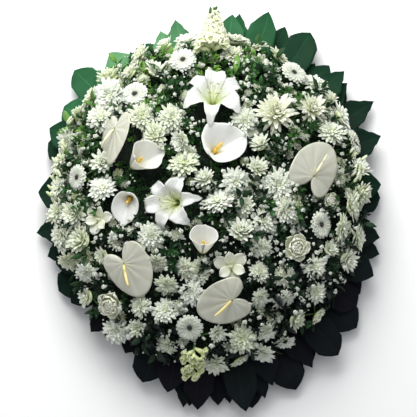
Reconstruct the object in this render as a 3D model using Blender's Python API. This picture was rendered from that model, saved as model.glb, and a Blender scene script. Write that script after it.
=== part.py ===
"""Funeral wreath: a domed bed of white flowers on a round board, in a collar of broad leaves.

It lies on its back. +Z points out of the flower face, +Y to the wreath's top and +X to its right.
The origin is the middle of the board's underside. All sizes are in metres.
"""

import math
import random
from dataclasses import dataclass

import bmesh
import bpy
import numpy as np
from mathutils import Matrix, Vector

# Flower face: an ellipsoid cap
FACE_HALF_WIDTH = 0.430
FACE_HALF_HEIGHT = 0.465
FACE_RISE = 0.185
FACE_FOOT = 0.078
FACE_RIM = 0.95

# Board, foam pad and greenery bed
BOARD_RADIUS = 0.310
BOARD_THICK = 0.009
FOAM_RADIUS = 0.340
FOAM_TOP = 0.070
ROUND_SIDES = 30
BED_DROP = 0.036
BED_FOOT_RADIUS = 0.335
BED_FLARE_HEIGHT = 0.098
BED_SIDES = 28
GAP = 0.0003

# Stems stand in plain holes in the bed
STEM_DEPTH = 0.025
STEM_RADIUS = 0.0034
STEM_SIDES = 3
HOLE_CLEARANCE = 0.0006
HOLE_START = 0.018

# Leaf collar
COLLAR_BRANCH_RADIUS = 0.008
COLLAR_BRANCH_HEIGHT = 0.045
COLLAR_LAYERS = (0.030, 0.045, 0.060)
LEAF_WIDTH = 0.096
LEAF_THICK = 0.0024
LEAF_FOLD = 0.006
LEAF_ARCH = 0.010
LEAF_OUTLINE = ((0.0, 0.07), (0.42, 0.92), (0.76, 0.86))
# Bearing of each leaf in degrees from +X, and how far its tip reaches from the wreath's middle
COLLAR = {
    "right": (
        (3, 0.480), (7, 0.485), (22, 0.520), (33, 0.555), (42, 0.525), (45, 0.540),
        (50, 0.530), (60, 0.575), (73, 0.580), (81, 0.565), (83, 0.555),
    ),
    "left": (
        (100, 0.540), (105, 0.525), (122, 0.520), (129, 0.495), (134, 0.545), (145, 0.495),
        (154, 0.495), (158, 0.485), (169, 0.450), (176, 0.475), (189, 0.485), (198, 0.470),
        (202, 0.455), (210, 0.480), (216, 0.470),
    ),
    "lower": (
        (228, 0.485), (241, 0.475), (250, 0.530), (258, 0.540), (263, 0.570), (267, 0.575),
        (280, 0.590), (282, 0.580), (286, 0.565), (289, 0.540), (295, 0.570), (302, 0.540),
        (310, 0.555), (320, 0.535), (325, 0.500), (336, 0.500), (344, 0.495), (349, 0.485),
    ),
}

# Spray chrysanthemums: each spray is a branch that runs under the blooms it carries
MUM_RADIUS = (0.032, 0.038)
MUM_PETALS = 8
MUM_LEAN = 12
BRANCH_DROP = 0.0055
BRANCH_RADIUS = 0.0018
MAIN_STEM_EVERY = 7
SPRAYS = {
    "top_right": (
        (0.070, 0.420), (0.125, 0.445), (0.180, 0.430), (0.235, 0.420), (0.300, 0.330),
        (0.350, 0.290), (0.360, 0.230), (0.340, 0.175),
    ),
    "right": (
        (0.410, 0.105), (0.415, 0.040), (0.395, -0.020), (0.360, -0.070), (0.380, -0.110),
        (0.370, -0.160), (0.310, -0.145), (0.290, -0.200),
    ),
    "centre_right": (
        (0.110, 0.195), (0.140, 0.120), (0.135, 0.055), (0.185, 0.010), (0.200, -0.050),
        (0.150, -0.085), (0.095, -0.050), (0.095, -0.120), (0.135, -0.165),
    ),
    "upper_centre": (
        (-0.285, 0.235), (-0.175, 0.205), (-0.165, 0.150), (-0.100, 0.190), (-0.075, 0.135),
        (-0.060, 0.070), (-0.010, 0.020), (0.025, -0.025), (0.075, 0.015),
    ),
    "top_left": (
        (-0.060, 0.450), (-0.115, 0.430), (-0.190, 0.400), (-0.145, 0.345), (-0.220, 0.345),
        (-0.275, 0.320), (-0.325, 0.290), (-0.355, 0.235), (-0.250, 0.270),
    ),
    "left": (
        (-0.385, 0.160), (-0.400, 0.100), (-0.400, 0.035), (-0.290, 0.080), (-0.290, 0.010),
        (-0.400, -0.035), (-0.355, -0.055), (-0.395, -0.105), (-0.345, -0.125),
        (-0.365, -0.165), (-0.335, -0.210), (-0.295, -0.180),
    ),
    "lower_left": (
        (-0.320, -0.260), (-0.270, -0.350), (-0.205, -0.355), (-0.155, -0.325),
        (-0.100, -0.315), (-0.110, -0.265), (-0.050, -0.275), (-0.070, -0.225),
        (-0.130, -0.220), (-0.155, -0.130),
    ),
    "bottom": (
        (0.140, -0.225), (0.200, -0.245), (0.160, -0.280), (0.290, -0.270), (0.280, -0.320),
        (0.220, -0.350), (0.200, -0.305), (0.190, -0.390), (0.135, -0.390), (0.135, -0.430),
        (0.075, -0.400), (0.050, -0.440), (-0.005, -0.450), (0.015, -0.380), (-0.110, -0.410),
    ),
}
SETTLE_ROUNDS = 160
APART = 0.0025

# Gypsophila and the bed's own leaves
GYP_DROP = 0.028
GYP_BRANCH_RADIUS = 0.0012
GYP_STALK_RADIUS = 0.0009
GYP_FLORET_RADIUS = 0.0045
GYP_FLORETS = 11
GYP_SPACING = 0.030
GYP_LONGEST_LINK = 0.110
BED_LEAF_SPOTS = 64
BED_LEAF_LENGTH = 0.036
BED_LEAF_WIDTH = 0.018
BED_LEAF_ROOT = 0.009
GAP_LEAF_LENGTH = 0.044
GAP_LEAF_WIDTH = 0.019
GAP_LEAF_SPACING = 0.040
GAP_LEAVES = 30
SMALL_LEAF_THICK = 0.0020
LEAF_SPREAD = (0.92, 1.08)
GYP_STEM_EVERY = 8
CLEARANCE = 0.001
GOLDEN_ANGLE = math.pi * (3 - math.sqrt(5))
SEED = 7

# Rays of a gerbera
GERBERA_RAYS = 12

# Where the two lobes of an anthurium's heart lie from its tip, and how wide they and the notch are
LOBE_ANGLE = math.radians(125)
LOBE_SPREAD = math.radians(32)
NOTCH_SPREAD = math.radians(24)

# Depth of the calla's neck, and of the lily's neck and throat, under their open face
CALLA_NECK = -0.038
CALLA_BEND_LENGTH = 0.055
LILY_NECK = -0.028
LILY_DIP = 0.026
STAMEN_SPREAD = 0.020
STAMEN_TALL = 0.050


@dataclass
class Place:
    """Where one large flower stands on the face, and the room that it takes."""

    name: str
    x: float
    y: float
    size: float
    lift: float = 0.0
    turn: float = 0.0
    lean: float = 0.0
    toward: float = -90.0
    clear: float = 0.040
    reach: float = 0.045
    root: float = 0.005
    shift: float = 0.0
    neck: float = -0.004
    slant: float = 0.0
    nod: float = 0.0


GERBERAS = (
    Place("gerbera_1", -0.070, 0.375, 0.038, lift=0.008, lean=8),
    Place("gerbera_2", -0.200, 0.275, 0.037, lift=0.008, lean=4),
    Place("gerbera_3", 0.232, 0.345, 0.038, lift=0.010, lean=6),
    Place("gerbera_4", -0.050, -0.366, 0.037, lift=0.012, lean=4),
    Place("gerbera_5", 0.300, -0.090, 0.038, lift=0.012, lean=20, toward=0),
    Place("gerbera_6", -0.352, 0.045, 0.036, lift=0.012, lean=18, toward=200),
    Place("gerbera_7", 0.398, 0.160, 0.036, lift=0.012, lean=8, toward=0),
)
CALLAS = (
    Place(
        "calla_1", 0.030, 0.117, 0.060, lift=0.008, turn=35, lean=12, toward=35,
        clear=0.044, reach=0.075, root=0.024, neck=CALLA_NECK, slant=0.45,
    ),
    Place(
        "calla_2", -0.180, 0.075, 0.052, lift=0.024, turn=-15,
        clear=0.042, reach=0.070, root=0.022, shift=0.018, neck=CALLA_NECK, nod=42,
    ),
    Place(
        "calla_3", -0.220, -0.035, 0.046, lift=0.006, turn=-105, lean=18, toward=-105,
        clear=0.034, reach=0.062, root=0.020, neck=CALLA_NECK, slant=0.45,
    ),
    Place(
        "calla_4", -0.014, -0.156, 0.043, lift=0.020, turn=88,
        clear=0.034, reach=0.058, root=0.020, shift=0.014, neck=CALLA_NECK, nod=48,
    ),
)
ANTHURIUMS = (
    Place(
        "anthurium_1", -0.242, 0.160, 0.094, lift=0.045, turn=-98, lean=38, toward=175,
        clear=0.044, reach=0.062, root=0.012, shift=0.036, neck=0.0,
    ),
    Place(
        "anthurium_2", -0.222, -0.198, 0.096, lift=0.026, turn=-62, lean=6,
        clear=0.034, reach=0.070, shift=0.036, neck=0.0,
    ),
    Place(
        "anthurium_3", 0.278, 0.038, 0.098, lift=0.024, turn=62, lean=6,
        clear=0.034, reach=0.068, shift=0.036, neck=0.0,
    ),
    Place(
        "anthurium_4", 0.061, -0.296, 0.093, lift=0.026, turn=-158, lean=6,
        clear=0.034, reach=0.068, shift=0.036, neck=0.0,
    ),
)
LILIES = (
    Place(
        "lily_1", 0.013, 0.258, 0.090, lift=0.014, turn=84, lean=8, toward=84,
        clear=0.059, reach=0.100, root=0.014, neck=LILY_NECK, slant=0.50,
    ),
    Place(
        "lily_2", -0.098, -0.040, 0.078, lift=0.014, turn=187, lean=6, toward=187,
        clear=0.042, reach=0.085, root=0.014, neck=LILY_NECK, slant=0.50,
    ),
)
GLADIOLI = (
    Place(
        "gladiolus_1", -0.298, -0.075, 0.040, lift=0.004, turn=10,
        clear=0.038, reach=0.046, root=0.012, neck=-0.016,
    ),
    Place(
        "gladiolus_2", 0.060, -0.212, 0.046, lift=0.006, turn=40,
        clear=0.044, reach=0.050, root=0.012, neck=-0.016,
    ),
)
DISBUDS = (
    Place(
        "disbud_1", 0.182, 0.215, 0.056, lift=0.006, lean=4,
        clear=0.056, reach=0.060, root=0.016, neck=-0.010,
    ),
    Place(
        "disbud_2", 0.283, 0.240, 0.044, lift=0.002, lean=4,
        clear=0.044, reach=0.048, root=0.014, neck=-0.008,
    ),
)
ROSES = (
    Place(
        "rose_1", -0.266, -0.301, 0.040, lift=0.004,
        clear=0.040, reach=0.044, root=0.018, neck=-0.010,
    ),
    Place(
        "rose_2", 0.238, -0.155, 0.040, lift=0.004,
        clear=0.040, reach=0.044, root=0.018, neck=-0.010,
    ),
    Place(
        "rose_3", 0.335, -0.020, 0.024, lift=0.002,
        clear=0.026, reach=0.030, root=0.014, neck=-0.006,
    ),
)
SNAPDRAGONS = (
    Place(
        "snapdragon_1", 0.010, 0.395, 0.146, lift=0.008, turn=88, lean=14,
        clear=0.030, reach=0.060, root=0.020, shift=0.050, neck=0.004,
    ),
    Place(
        "snapdragon_2", -0.038, -0.415, 0.080, lift=0.004, turn=-95,
        clear=0.028, reach=0.055, root=0.018, shift=0.028, neck=0.004,
    ),
)
LARGE_FLOWERS = GERBERAS + CALLAS + ANTHURIUMS + LILIES + GLADIOLI + DISBUDS + ROSES + SNAPDRAGONS


def face_height(x, y, drop=0.0):
    """Height of the flower face over a plan place, or of the surface that lies drop under it."""
    spread = (x / (FACE_HALF_WIDTH - drop)) ** 2 + (y / (FACE_HALF_HEIGHT - drop)) ** 2
    return FACE_FOOT + (FACE_RISE - drop) * math.sqrt(max(0.0, 1 - spread))


def on_face(x, y):
    """The point of the flower face over a plan place, brought inside the rim where it lies past it."""
    spread = (x / FACE_HALF_WIDTH) ** 2 + (y / FACE_HALF_HEIGHT) ** 2
    if spread > FACE_RIM:
        x *= math.sqrt(FACE_RIM / spread)
        y *= math.sqrt(FACE_RIM / spread)
    return Vector((x, y, face_height(x, y)))


def face_normal(point):
    """The outward direction of the flower face at one of its points."""
    return Vector(
        (point.x / FACE_HALF_WIDTH**2, point.y / FACE_HALF_HEIGHT**2, (point.z - FACE_FOOT) / FACE_RISE**2)
    ).normalized()


def pose(point, lift=0.0, turn=0.0, lean=0.0, toward=0.0):
    """The matrix that stands a shape on the face: its Z outwards and its X along a bearing, leant over."""
    normal = face_normal(point)
    up = normal.copy()
    if lean:
        way = Vector((math.cos(math.radians(toward)), math.sin(math.radians(toward)), 0))
        up.rotate(Matrix.Rotation(math.radians(lean), 3, up.cross(way).normalized()))
    ahead = Vector((math.cos(math.radians(turn)), math.sin(math.radians(turn)), 0))
    ahead = (ahead - up * ahead.dot(up)).normalized()
    turned = Matrix((ahead, up.cross(ahead), up)).transposed().to_4x4()
    return Matrix.Translation(point + normal * lift) @ turned


def place_pose(place):
    """The matrix of a large flower. A slant sets its throat back from its face, against its X."""
    slanted = Matrix.Identity(4)
    slanted[0][2] = place.slant
    return pose(on_face(place.x, place.y), place.lift, place.turn, place.lean, place.toward) @ slanted


def loft(rings):
    """A closed shape through rings of points. A ring of one point closes an end."""
    shape = bmesh.new()
    rows = [[shape.verts.new(point) for point in ring] for ring in rings]
    for low, high in zip(rows, rows[1:]):
        if len(low) == len(high):
            join_alike(shape, low, high)
        else:
            join_unlike(shape, low, high)
    for end in (rows[0], rows[-1]):
        if len(end) > 1:
            shape.faces.new(end)
    bmesh.ops.recalc_face_normals(shape, faces=shape.faces)
    if shape.calc_volume(signed=True) < 0:
        bmesh.ops.reverse_faces(shape, faces=shape.faces)
    return shape


def join_alike(shape, low, high):
    """Faces between two rings of as many points, split alike on both faces of a blade."""
    count = len(low)
    for i in range(count):
        a, b, c, d = low[i], low[(i + 1) % count], high[(i + 1) % count], high[i]
        for corners in ((a, b, c), (a, c, d)) if i < count / 2 else ((a, b, d), (b, c, d)):
            shape.faces.new(corners)


def join_unlike(shape, low, high):
    """Triangles between two rings of unlike numbers of points, fanned out from the ring that has fewer."""
    if len(low) > len(high):
        low, high = high, low
    i = j = 0
    while i < len(low) or j < len(high):
        a, d = low[i % len(low)], high[j % len(high)]
        if j == len(high) or (i < len(low) and (i + 0.5) / len(low) <= j / len(high)):
            i += 1
            corners = (a, low[i % len(low)], d)
        else:
            j += 1
            corners = (a, high[j % len(high)], d)
        if len(set(corners)) == 3:
            shape.faces.new(corners)


def ring(count, radius, height, phase=0.0):
    """Points round the Z axis, where radius and height may each be a function of the point's number."""
    points = []
    for i in range(count):
        angle = phase + 2 * math.pi * i / count
        reach = radius(i) if callable(radius) else radius
        level = height(i) if callable(height) else height
        points.append(Vector((reach * math.cos(angle), reach * math.sin(angle), level)))
    return points


def stalk(start, end, radius, sides=3, taper=1.0):
    """A straight round stalk between two points."""
    shape = bmesh.new()
    along = end - start
    place = Matrix.Translation((start + end) / 2) @ along.to_track_quat("Z", "Y").to_matrix().to_4x4()
    bmesh.ops.create_cone(
        shape, cap_ends=True, segments=sides, radius1=radius, radius2=radius * taper,
        depth=along.length, matrix=place,
    )
    return shape


def blade(stations, thick):
    """A leaf with a lens section, through stations of (middle point, side direction, half width, up)."""
    rings = []
    for middle, side, half, up in stations:
        if half == 0:
            rings.append([middle])
            continue
        raised = up * thick / 2
        rings.append([middle - side * half, middle + raised, middle + side * half, middle - raised])
    return loft(rings)


def moved(shape, matrix):
    """The shape after it is placed."""
    bmesh.ops.transform(shape, matrix=matrix, verts=shape.verts)
    return shape


def finish(name, colour, roughness):
    """A plain material for one kind of sub-part."""
    material = bpy.data.materials.get(name)
    if material:
        return material
    material = bpy.data.materials.new(name)
    material.use_nodes = True
    shader = material.node_tree.nodes["Principled BSDF"]
    shader.inputs["Base Color"].default_value = (*colour, 1)
    shader.inputs["Roughness"].default_value = roughness
    shader.inputs["Metallic"].default_value = 0
    return material


PETAL_WHITE = ("white_petal", (0.90, 0.90, 0.86), 0.6)
SPATHE_WHITE = ("white_spathe", (0.88, 0.88, 0.84), 0.4)
CREAM = ("cream_petal", (0.86, 0.84, 0.66), 0.6)
PALE_GREEN = ("pale_green_petal", (0.72, 0.78, 0.50), 0.6)
YELLOW = ("yellow_spadix", (0.80, 0.62, 0.12), 0.6)
DARK_EYE = ("dark_eye", (0.03, 0.02, 0.03), 0.8)
STAMEN = ("stamen", (0.30, 0.20, 0.08), 0.7)
LEAF_GREEN = ("collar_leaf", (0.03, 0.13, 0.05), 0.35)
BED_GREEN = ("bed_green", (0.05, 0.16, 0.05), 0.7)
FOAM_GREEN = ("foam_green", (0.06, 0.16, 0.08), 0.9)
PLYWOOD = ("plywood", (0.45, 0.30, 0.16), 0.7)


def to_object(name, shape, collection):
    """A mesh object made of a shape."""
    mesh = bpy.data.meshes.new(name)
    shape.to_mesh(mesh)
    shape.free()
    made = bpy.data.objects.new(name, mesh)
    collection.objects.link(made)
    return made


def combine(target, shapes, operation):
    """Joins the shapes to the target, or cuts them from it, in one Boolean that is applied."""
    helpers = bpy.data.collections.new("helpers")
    bpy.context.scene.collection.children.link(helpers)
    for shape in shapes:
        to_object("helper", shape, helpers)
    modifier = target.modifiers.new("combine", "BOOLEAN")
    modifier.operation = operation
    modifier.operand_type = "COLLECTION"
    modifier.collection = helpers
    modifier.solver = "EXACT"
    bpy.context.view_layer.update()
    graph = bpy.context.evaluated_depsgraph_get()
    result = bpy.data.meshes.new_from_object(target.evaluated_get(graph))
    target.modifiers.remove(modifier)
    plain = target.data
    target.data = result
    bpy.data.meshes.remove(plain)
    for helper in list(helpers.objects):
        bpy.data.meshes.remove(helper.data)
    bpy.data.collections.remove(helpers)


def node(name, shapes, material, collection):
    """One sub-part: its shapes fused into one solid, with its material."""
    made = to_object(name, shapes[0], collection)
    if len(shapes) > 1:
        combine(made, shapes[1:], "UNION")
    made.data.materials.clear()
    made.data.materials.append(finish(*material))
    made.data.name = name
    return made


def stem_ends(point, start=0.004):
    """A stem's two ends: just under the face, and in the bed."""
    normal = face_normal(point)
    return point - normal * start, point - normal * (BED_DROP + STEM_DEPTH)


def stem_shape(point, start=0.004):
    """The stem that carries a flower."""
    top, foot = stem_ends(point, start)
    return stalk(top, foot, STEM_RADIUS, STEM_SIDES)


def hole_shape(top, foot):
    """The cutter of the hole in the bed that a stem stands in."""
    along = (foot - top).normalized()
    mouth = foot - along * (BED_DROP + STEM_DEPTH - HOLE_START)
    return stalk(mouth, foot + along * HOLE_CLEARANCE, STEM_RADIUS + HOLE_CLEARANCE, STEM_SIDES)


def place_stem(place):
    """The two ends of a large flower's stem, from its neck straight down into the bed."""
    point = on_face(place.x, place.y)
    normal = face_normal(point)
    top = place_pose(place) @ Vector((0, 0, place.neck))
    return top, top - normal * ((top - point).dot(normal) + BED_DROP + STEM_DEPTH)


def star(petals, tip, notch, phase=0.0):
    """A ring of petal tips and the notches between them, each as (reach, level)."""
    return ring(2 * petals, lambda i: (tip, notch)[i % 2][0], lambda i: (tip, notch)[i % 2][1], phase)


def mum_shape(radius, phase):
    """A chrysanthemum: pointed petals that rise to a crown, and a dimple in its middle."""
    return loft(
        (
            [Vector((0, 0, -0.34 * radius))],
            star(MUM_PETALS, (radius, 0.08 * radius), (0.62 * radius, -0.02 * radius), phase),
            ring(MUM_PETALS, 0.46 * radius, 0.27 * radius, phase),
            [Vector((0, 0, 0.20 * radius))],
        )
    )


def disbud_shape(radius):
    """A large chrysanthemum with three rows of pointed petals."""
    petals = 11
    return loft(
        (
            [Vector((0, 0, -0.34 * radius))],
            star(petals, (radius, 0.06 * radius), (0.70 * radius, 0.0)),
            star(petals, (0.56 * radius, 0.13 * radius), (0.74 * radius, 0.24 * radius)),
            ring(petals, 0.44 * radius, 0.36 * radius),
            [Vector((0, 0, 0.28 * radius))],
        )
    )


def gerbera_rays(radius):
    """A ring of narrow ray petals round a flat middle."""
    return loft(
        (
            [Vector((0, 0, -0.30 * radius))],
            star(GERBERA_RAYS, (radius, 0.10 * radius), (0.68 * radius, 0.02 * radius)),
            ring(8, 0.28 * radius, 0.05 * radius),
            [Vector((0, 0, 0.05 * radius))],
        )
    )


def gerbera_eye(radius):
    """The dark domed eye that sits on the rays."""
    base = 0.05 * radius + GAP
    return loft(
        (
            [Vector((0, 0, base))],
            ring(8, 0.23 * radius, base),
            ring(8, 0.17 * radius, base + 0.0035),
            [Vector((0, 0, base + 0.0042))],
        )
    )


def calla_spathe(size):
    """A flaring funnel with one pointed tip, hollow down to its throat."""
    count = 12
    wall = 0.0014

    def rim_reach(i):
        angle = 2 * math.pi * i / count
        return size * (0.92 + 0.30 * max(0.0, math.cos(angle)) ** 5)

    def rim_level(i):
        angle = 2 * math.pi * i / count
        return size * (0.36 + 0.10 * math.cos(angle) - 0.16 * max(0.0, math.cos(angle)) ** 6)

    def scaled(factor):
        return lambda i: factor * rim_reach(i)

    outer = (
        [Vector((0, 0, -0.040))],
        ring(count, 0.0090, -0.036),
        ring(count, 0.36 * size, -0.012),
        ring(count, scaled(0.72), lambda i: 0.60 * rim_level(i) - 0.002),
        ring(count, rim_reach, rim_level),
    )
    inner = (
        ring(count, scaled(0.71), lambda i: 0.60 * rim_level(i) + 0.0005 + wall / 2),
        ring(count, 0.36 * size - 2 * wall, -0.010),
        ring(count, 0.0090 - wall, -0.0335),
        [Vector((0, 0, -0.0350))],
    )
    return loft(outer + inner)


def nodded(shape, degrees):
    """A calla whose neck bends over towards +X, more and more from its foot up."""
    if degrees:
        bend = CALLA_BEND_LENGTH / math.radians(degrees)
        for vert in shape.verts:
            angle = max(0.0, vert.co.z - CALLA_NECK) / bend
            reach = bend * (1 - math.cos(angle)) + vert.co.x * math.cos(angle)
            rise = min(vert.co.z, CALLA_NECK) + bend * math.sin(angle) - vert.co.x * math.sin(angle)
            vert.co = Vector((reach, vert.co.y, rise))
    return shape


def calla_spadix(size):
    """The finger that stands in a calla's throat."""
    foot = -0.0350 + GAP
    tall = 0.75 * size
    return loft(
        (
            [Vector((0, 0, foot + 0.0002))],
            ring(6, 0.0040, foot + 0.0030),
            ring(6, 0.0048, foot + 0.5 * tall),
            ring(6, 0.0030, foot + 0.93 * tall),
            [Vector((0, 0, foot + tall))],
        )
    )


def heart_reach(angle, size):
    """How far an anthurium's spathe reaches from its root at an angle from its tip."""
    away = math.pi - abs(math.pi - angle % (2 * math.pi))
    lobe = 0.20 * math.exp(-(((away - LOBE_ANGLE) / LOBE_SPREAD) ** 2))
    notch = 0.28 * math.exp(-(((math.pi - away) / NOTCH_SPREAD) ** 2))
    return size * (0.66 + 0.26 * math.cos(angle) + 0.14 * max(0.0, math.cos(angle)) ** 8 + lobe - notch)


def anthurium_spathe(size):
    """A heart-shaped blade, domed, with its notch at the root."""
    count = 16
    thick = 0.0026

    def level(angle, share):
        fold = 0.030 * abs(math.sin(angle)) * share
        return size * (fold - 0.075 * share**2)

    def heart(share, rise):
        angles = [2 * math.pi * i / count for i in range(count)]
        return ring(
            count,
            lambda i: share * heart_reach(angles[i], size),
            lambda i: level(angles[i], share) + rise,
        )

    return loft(
        (
            [Vector((0, 0, -thick / 2))],
            heart(0.55, -thick / 2),
            heart(1.0, 0.0),
            heart(0.55, thick / 2),
            [Vector((0, 0, thick / 2))],
        )
    )


def rod(points, radii, sides):
    """A round rod through points that lie in the XZ plane, with pointed ends."""
    rings = [[points[0]]]
    for k in range(1, len(points) - 1):
        along = (points[k + 1] - points[k - 1]).normalized()
        side = Vector((0, 1, 0))
        up = along.cross(side)
        turns = [2 * math.pi * i / sides for i in range(sides)]
        rings.append([points[k] + (side * math.cos(t) + up * math.sin(t)) * radii[k] for t in turns])
    rings.append([points[-1]])
    return loft(rings)


def anthurium_spadix(size):
    """The curved finger that rises from the root of the spathe."""
    start = 0.0013 + GAP
    points = [
        Vector((0.003, 0, start)),
        Vector((0.008, 0, start + 0.0045)),
        Vector((0.30 * size, 0, start + 0.16 * size)),
        Vector((0.58 * size, 0, start + 0.22 * size)),
        Vector((0.66 * size, 0, start + 0.225 * size)),
    ]
    return rod(points, (0, 0.0036, 0.0036, 0.0026, 0), 6)


def lily_tepals(size):
    """Six channelled petals that open out of a trumpet, three of them a little lower."""

    def reach(i):
        return size * (1.0, 0.70, 0.33, 0.70)[i % 4]

    def level(i):
        return size * ((0.02, 0.15, 0.03, 0.15), (-0.04, 0.09, 0.03, 0.09))[i // 4 % 2][i % 4]

    return loft(
        (
            [Vector((0, 0, -LILY_DIP - 0.006))],
            ring(6, 0.0085, -LILY_DIP - 0.001),
            ring(6, 0.22 * size, -0.008),
            ring(24, reach, level),
            ring(6, 0.185 * size, -0.004),
            ring(6, 0.0060, -LILY_DIP),
            [Vector((0, 0, -LILY_DIP))],
        )
    )


def gladiolus_shape(radius):
    """An open cream flower: three petals over three more, round a throat with a pale column."""

    def petal(near, far):
        return lambda i: radius * (far, near, 0.62, near, 0.90 * far, near, 0.62, near)[i % 8]

    def level(i):
        return radius * (0.10, 0.12, -0.02, 0.20, 0.28, 0.20, -0.02, 0.12)[i % 8]

    return loft(
        (
            [Vector((0, 0, -0.55 * radius))],
            ring(24, petal(0.86, 1.0), level),
            ring(6, 0.42 * radius, 0.10 * radius),
            ring(6, 0.16 * radius, -0.06 * radius),
            ring(6, 0.09 * radius, 0.34 * radius),
            [Vector((0, 0, 0.38 * radius))],
        )
    )


def lily_stamens():
    """Six filaments with their anthers round a pistil, from one small foot."""
    foot = -LILY_DIP + GAP
    shapes = [loft(([Vector((0, 0, foot))], ring(6, 0.0035, foot + 0.002), [Vector((0, 0, foot + 0.006))]))]
    base = Vector((0, 0, foot + 0.0025))
    for k in range(6):
        bearing = 2 * math.pi * (k + 0.5) / 6
        out = Vector((math.cos(bearing), math.sin(bearing), 0))
        tip = out * STAMEN_SPREAD + Vector((0, 0, foot + STAMEN_TALL))
        filament = loft(
            (
                ring(3, 0.0010, 0.0),
                ring(3, 0.0009, 0.82 * (tip - base).length),
                ring(3, 0.0024, 0.90 * (tip - base).length),
                [Vector((0, 0, (tip - base).length))],
            )
        )
        turned = (tip - base).to_track_quat("Z", "Y").to_matrix().to_4x4()
        shapes.append(moved(filament, Matrix.Translation(base) @ turned))
    shapes.append(stalk(base, Vector((0, 0, foot + 0.058)), 0.0013, 3, 1.6))
    return shapes


def rose_shape(radius):
    """A cupped bloom of rounded petals that close over each other towards the middle."""
    count = 10

    def lobed(share, shift):
        return lambda i: radius * share * (1.0 if (i + shift) % 2 else 0.84)

    return loft(
        (
            [Vector((0, 0, -0.55 * radius))],
            ring(count, 0.55 * radius, -0.30 * radius),
            ring(count, lobed(1.0, 0), 0.10 * radius),
            ring(count, lobed(0.80, 1), 0.34 * radius),
            ring(count, lobed(0.66, 1), 0.22 * radius),
            ring(count, lobed(0.52, 0), 0.44 * radius),
            ring(count, lobed(0.34, 0), 0.30 * radius),
            [Vector((0, 0, 0.50 * radius))],
        )
    )


def snapdragon_shapes(length):
    """A flower spike that lies along +X: pouched florets round a stem, smaller towards its tip."""
    florets = 10
    shapes = [stalk(Vector((-0.006, 0, 0.004)), Vector((length, 0, 0.016)), 0.0034, 4, 0.5)]
    for k in range(florets):
        share = k / (florets - 1)
        angle = k * GOLDEN_ANGLE
        out = Vector((0.25, math.cos(angle), 0.35 + 0.65 * abs(math.sin(angle)))).normalized()
        long = 0.028 * (1 - 0.60 * share)
        girth = 0.0145 * (1 - 0.58 * share)
        foot = Vector((0.004 + 0.90 * length * share, 0, 0.005 + 0.010 * share))
        turned = Matrix.Translation(foot) @ out.to_track_quat("Z", "Y").to_matrix().to_4x4()
        floret = loft(
            (
                [Vector((0, 0, -0.001))],
                ring(3, 0.55 * girth, 0.30 * long),
                ring(6, lambda i: girth * (1.15, 0.8)[i % 2], 0.80 * long),
                [Vector((0, 0, long))],
            )
        )
        shapes.append(moved(floret, turned))
    return shapes


def settle_sprays(draw):
    """Blooms of every spray, pushed apart until each has its room. Returns {spray: [(point, radius)]}."""
    owner, home, radius = [], [], []
    for number, path in enumerate(SPRAYS.values()):
        for x, y in path:
            owner.append(number)
            home.append((x, y))
            radius.append(draw.uniform(*MUM_RADIUS))
    owner, radius = np.array(owner), np.array(radius)
    home = np.array(home)
    spots = home.copy()
    fixed = np.array([centre_of(place) for place in LARGE_FLOWERS])
    clear = np.array([place.clear for place in LARGE_FLOWERS])
    same = owner[:, None] == owner[None, :]
    need = radius[:, None] + radius[None, :] + np.where(same, 0, APART)
    np.fill_diagonal(need, 0)
    for _ in range(SETTLE_ROUNDS):
        points = np.array([on_face(x, y) for x, y in spots])
        spots = points[:, :2] + 0.02 * (home - points[:, :2])
        spots += push(points, points, need, 0.5)
        spots += push(points, fixed, radius[:, None] + clear[None, :] + APART, 1.0)
    points = [on_face(x, y) for x, y in spots]
    sprays = {}
    for number, name in enumerate(SPRAYS):
        sprays[name] = [(points[i], radius[i]) for i in np.flatnonzero(owner == number)]
    return sprays


def push(points, others, need, share):
    """Plan moves that part points from others which are nearer than they need."""
    away = points[:, None, :] - others[None, :, :]
    distance = np.linalg.norm(away, axis=2)
    short = np.clip(need - distance, 0, None) * (distance > 1e-9)
    return (away[:, :, :2] / np.maximum(distance, 1e-9)[:, :, None] * short[:, :, None] * share).sum(axis=1)


def centre_of(place):
    """The middle of the room that a large flower takes, which lies ahead of the root of a one-sided one."""
    return place_pose(place) @ Vector((place.shift, 0, -place.lift))


def spray_stems(blooms):
    """The blooms of a spray that stand on a main stem."""
    return [blooms[i][0] for i in range(2, len(blooms), MAIN_STEM_EVERY)]


def spray_shapes(blooms, draw):
    """The blooms of one spray, the branch that runs under them and its main stems."""
    shapes = []
    knots = [point - face_normal(point) * BRANCH_DROP for point, _ in blooms]
    for point, radius in blooms:
        lean, toward = draw.uniform(0, MUM_LEAN), draw.uniform(0, 360)
        bloom = mum_shape(radius, draw.uniform(0, math.pi))
        shapes.append(moved(bloom, pose(point, 0, 0, lean, toward)))
    for start, end in zip(knots, knots[1:]):
        shapes.append(stalk(start, end, BRANCH_RADIUS))
    shapes += [stem_shape(point, 0.006) for point in spray_stems(blooms)]
    return shapes


def nearest(a0, a1, b0, b1):
    """The distance between two straight lengths."""
    u, v, w = a1 - a0, b1 - b0, a0 - b0
    a, b, c, d, e = u.dot(u), u.dot(v), v.dot(v), u.dot(w), v.dot(w)
    area = a * c - b * b
    s = min(1, max(0, (b * e - c * d) / area)) if area > 1e-12 else 0.0
    t = min(1, max(0, (b * s + e) / c)) if c > 1e-12 else 0.0
    s = min(1, max(0, (b * t - d) / a)) if a > 1e-12 else 0.0
    return (w + u * s - v * t).length


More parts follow.
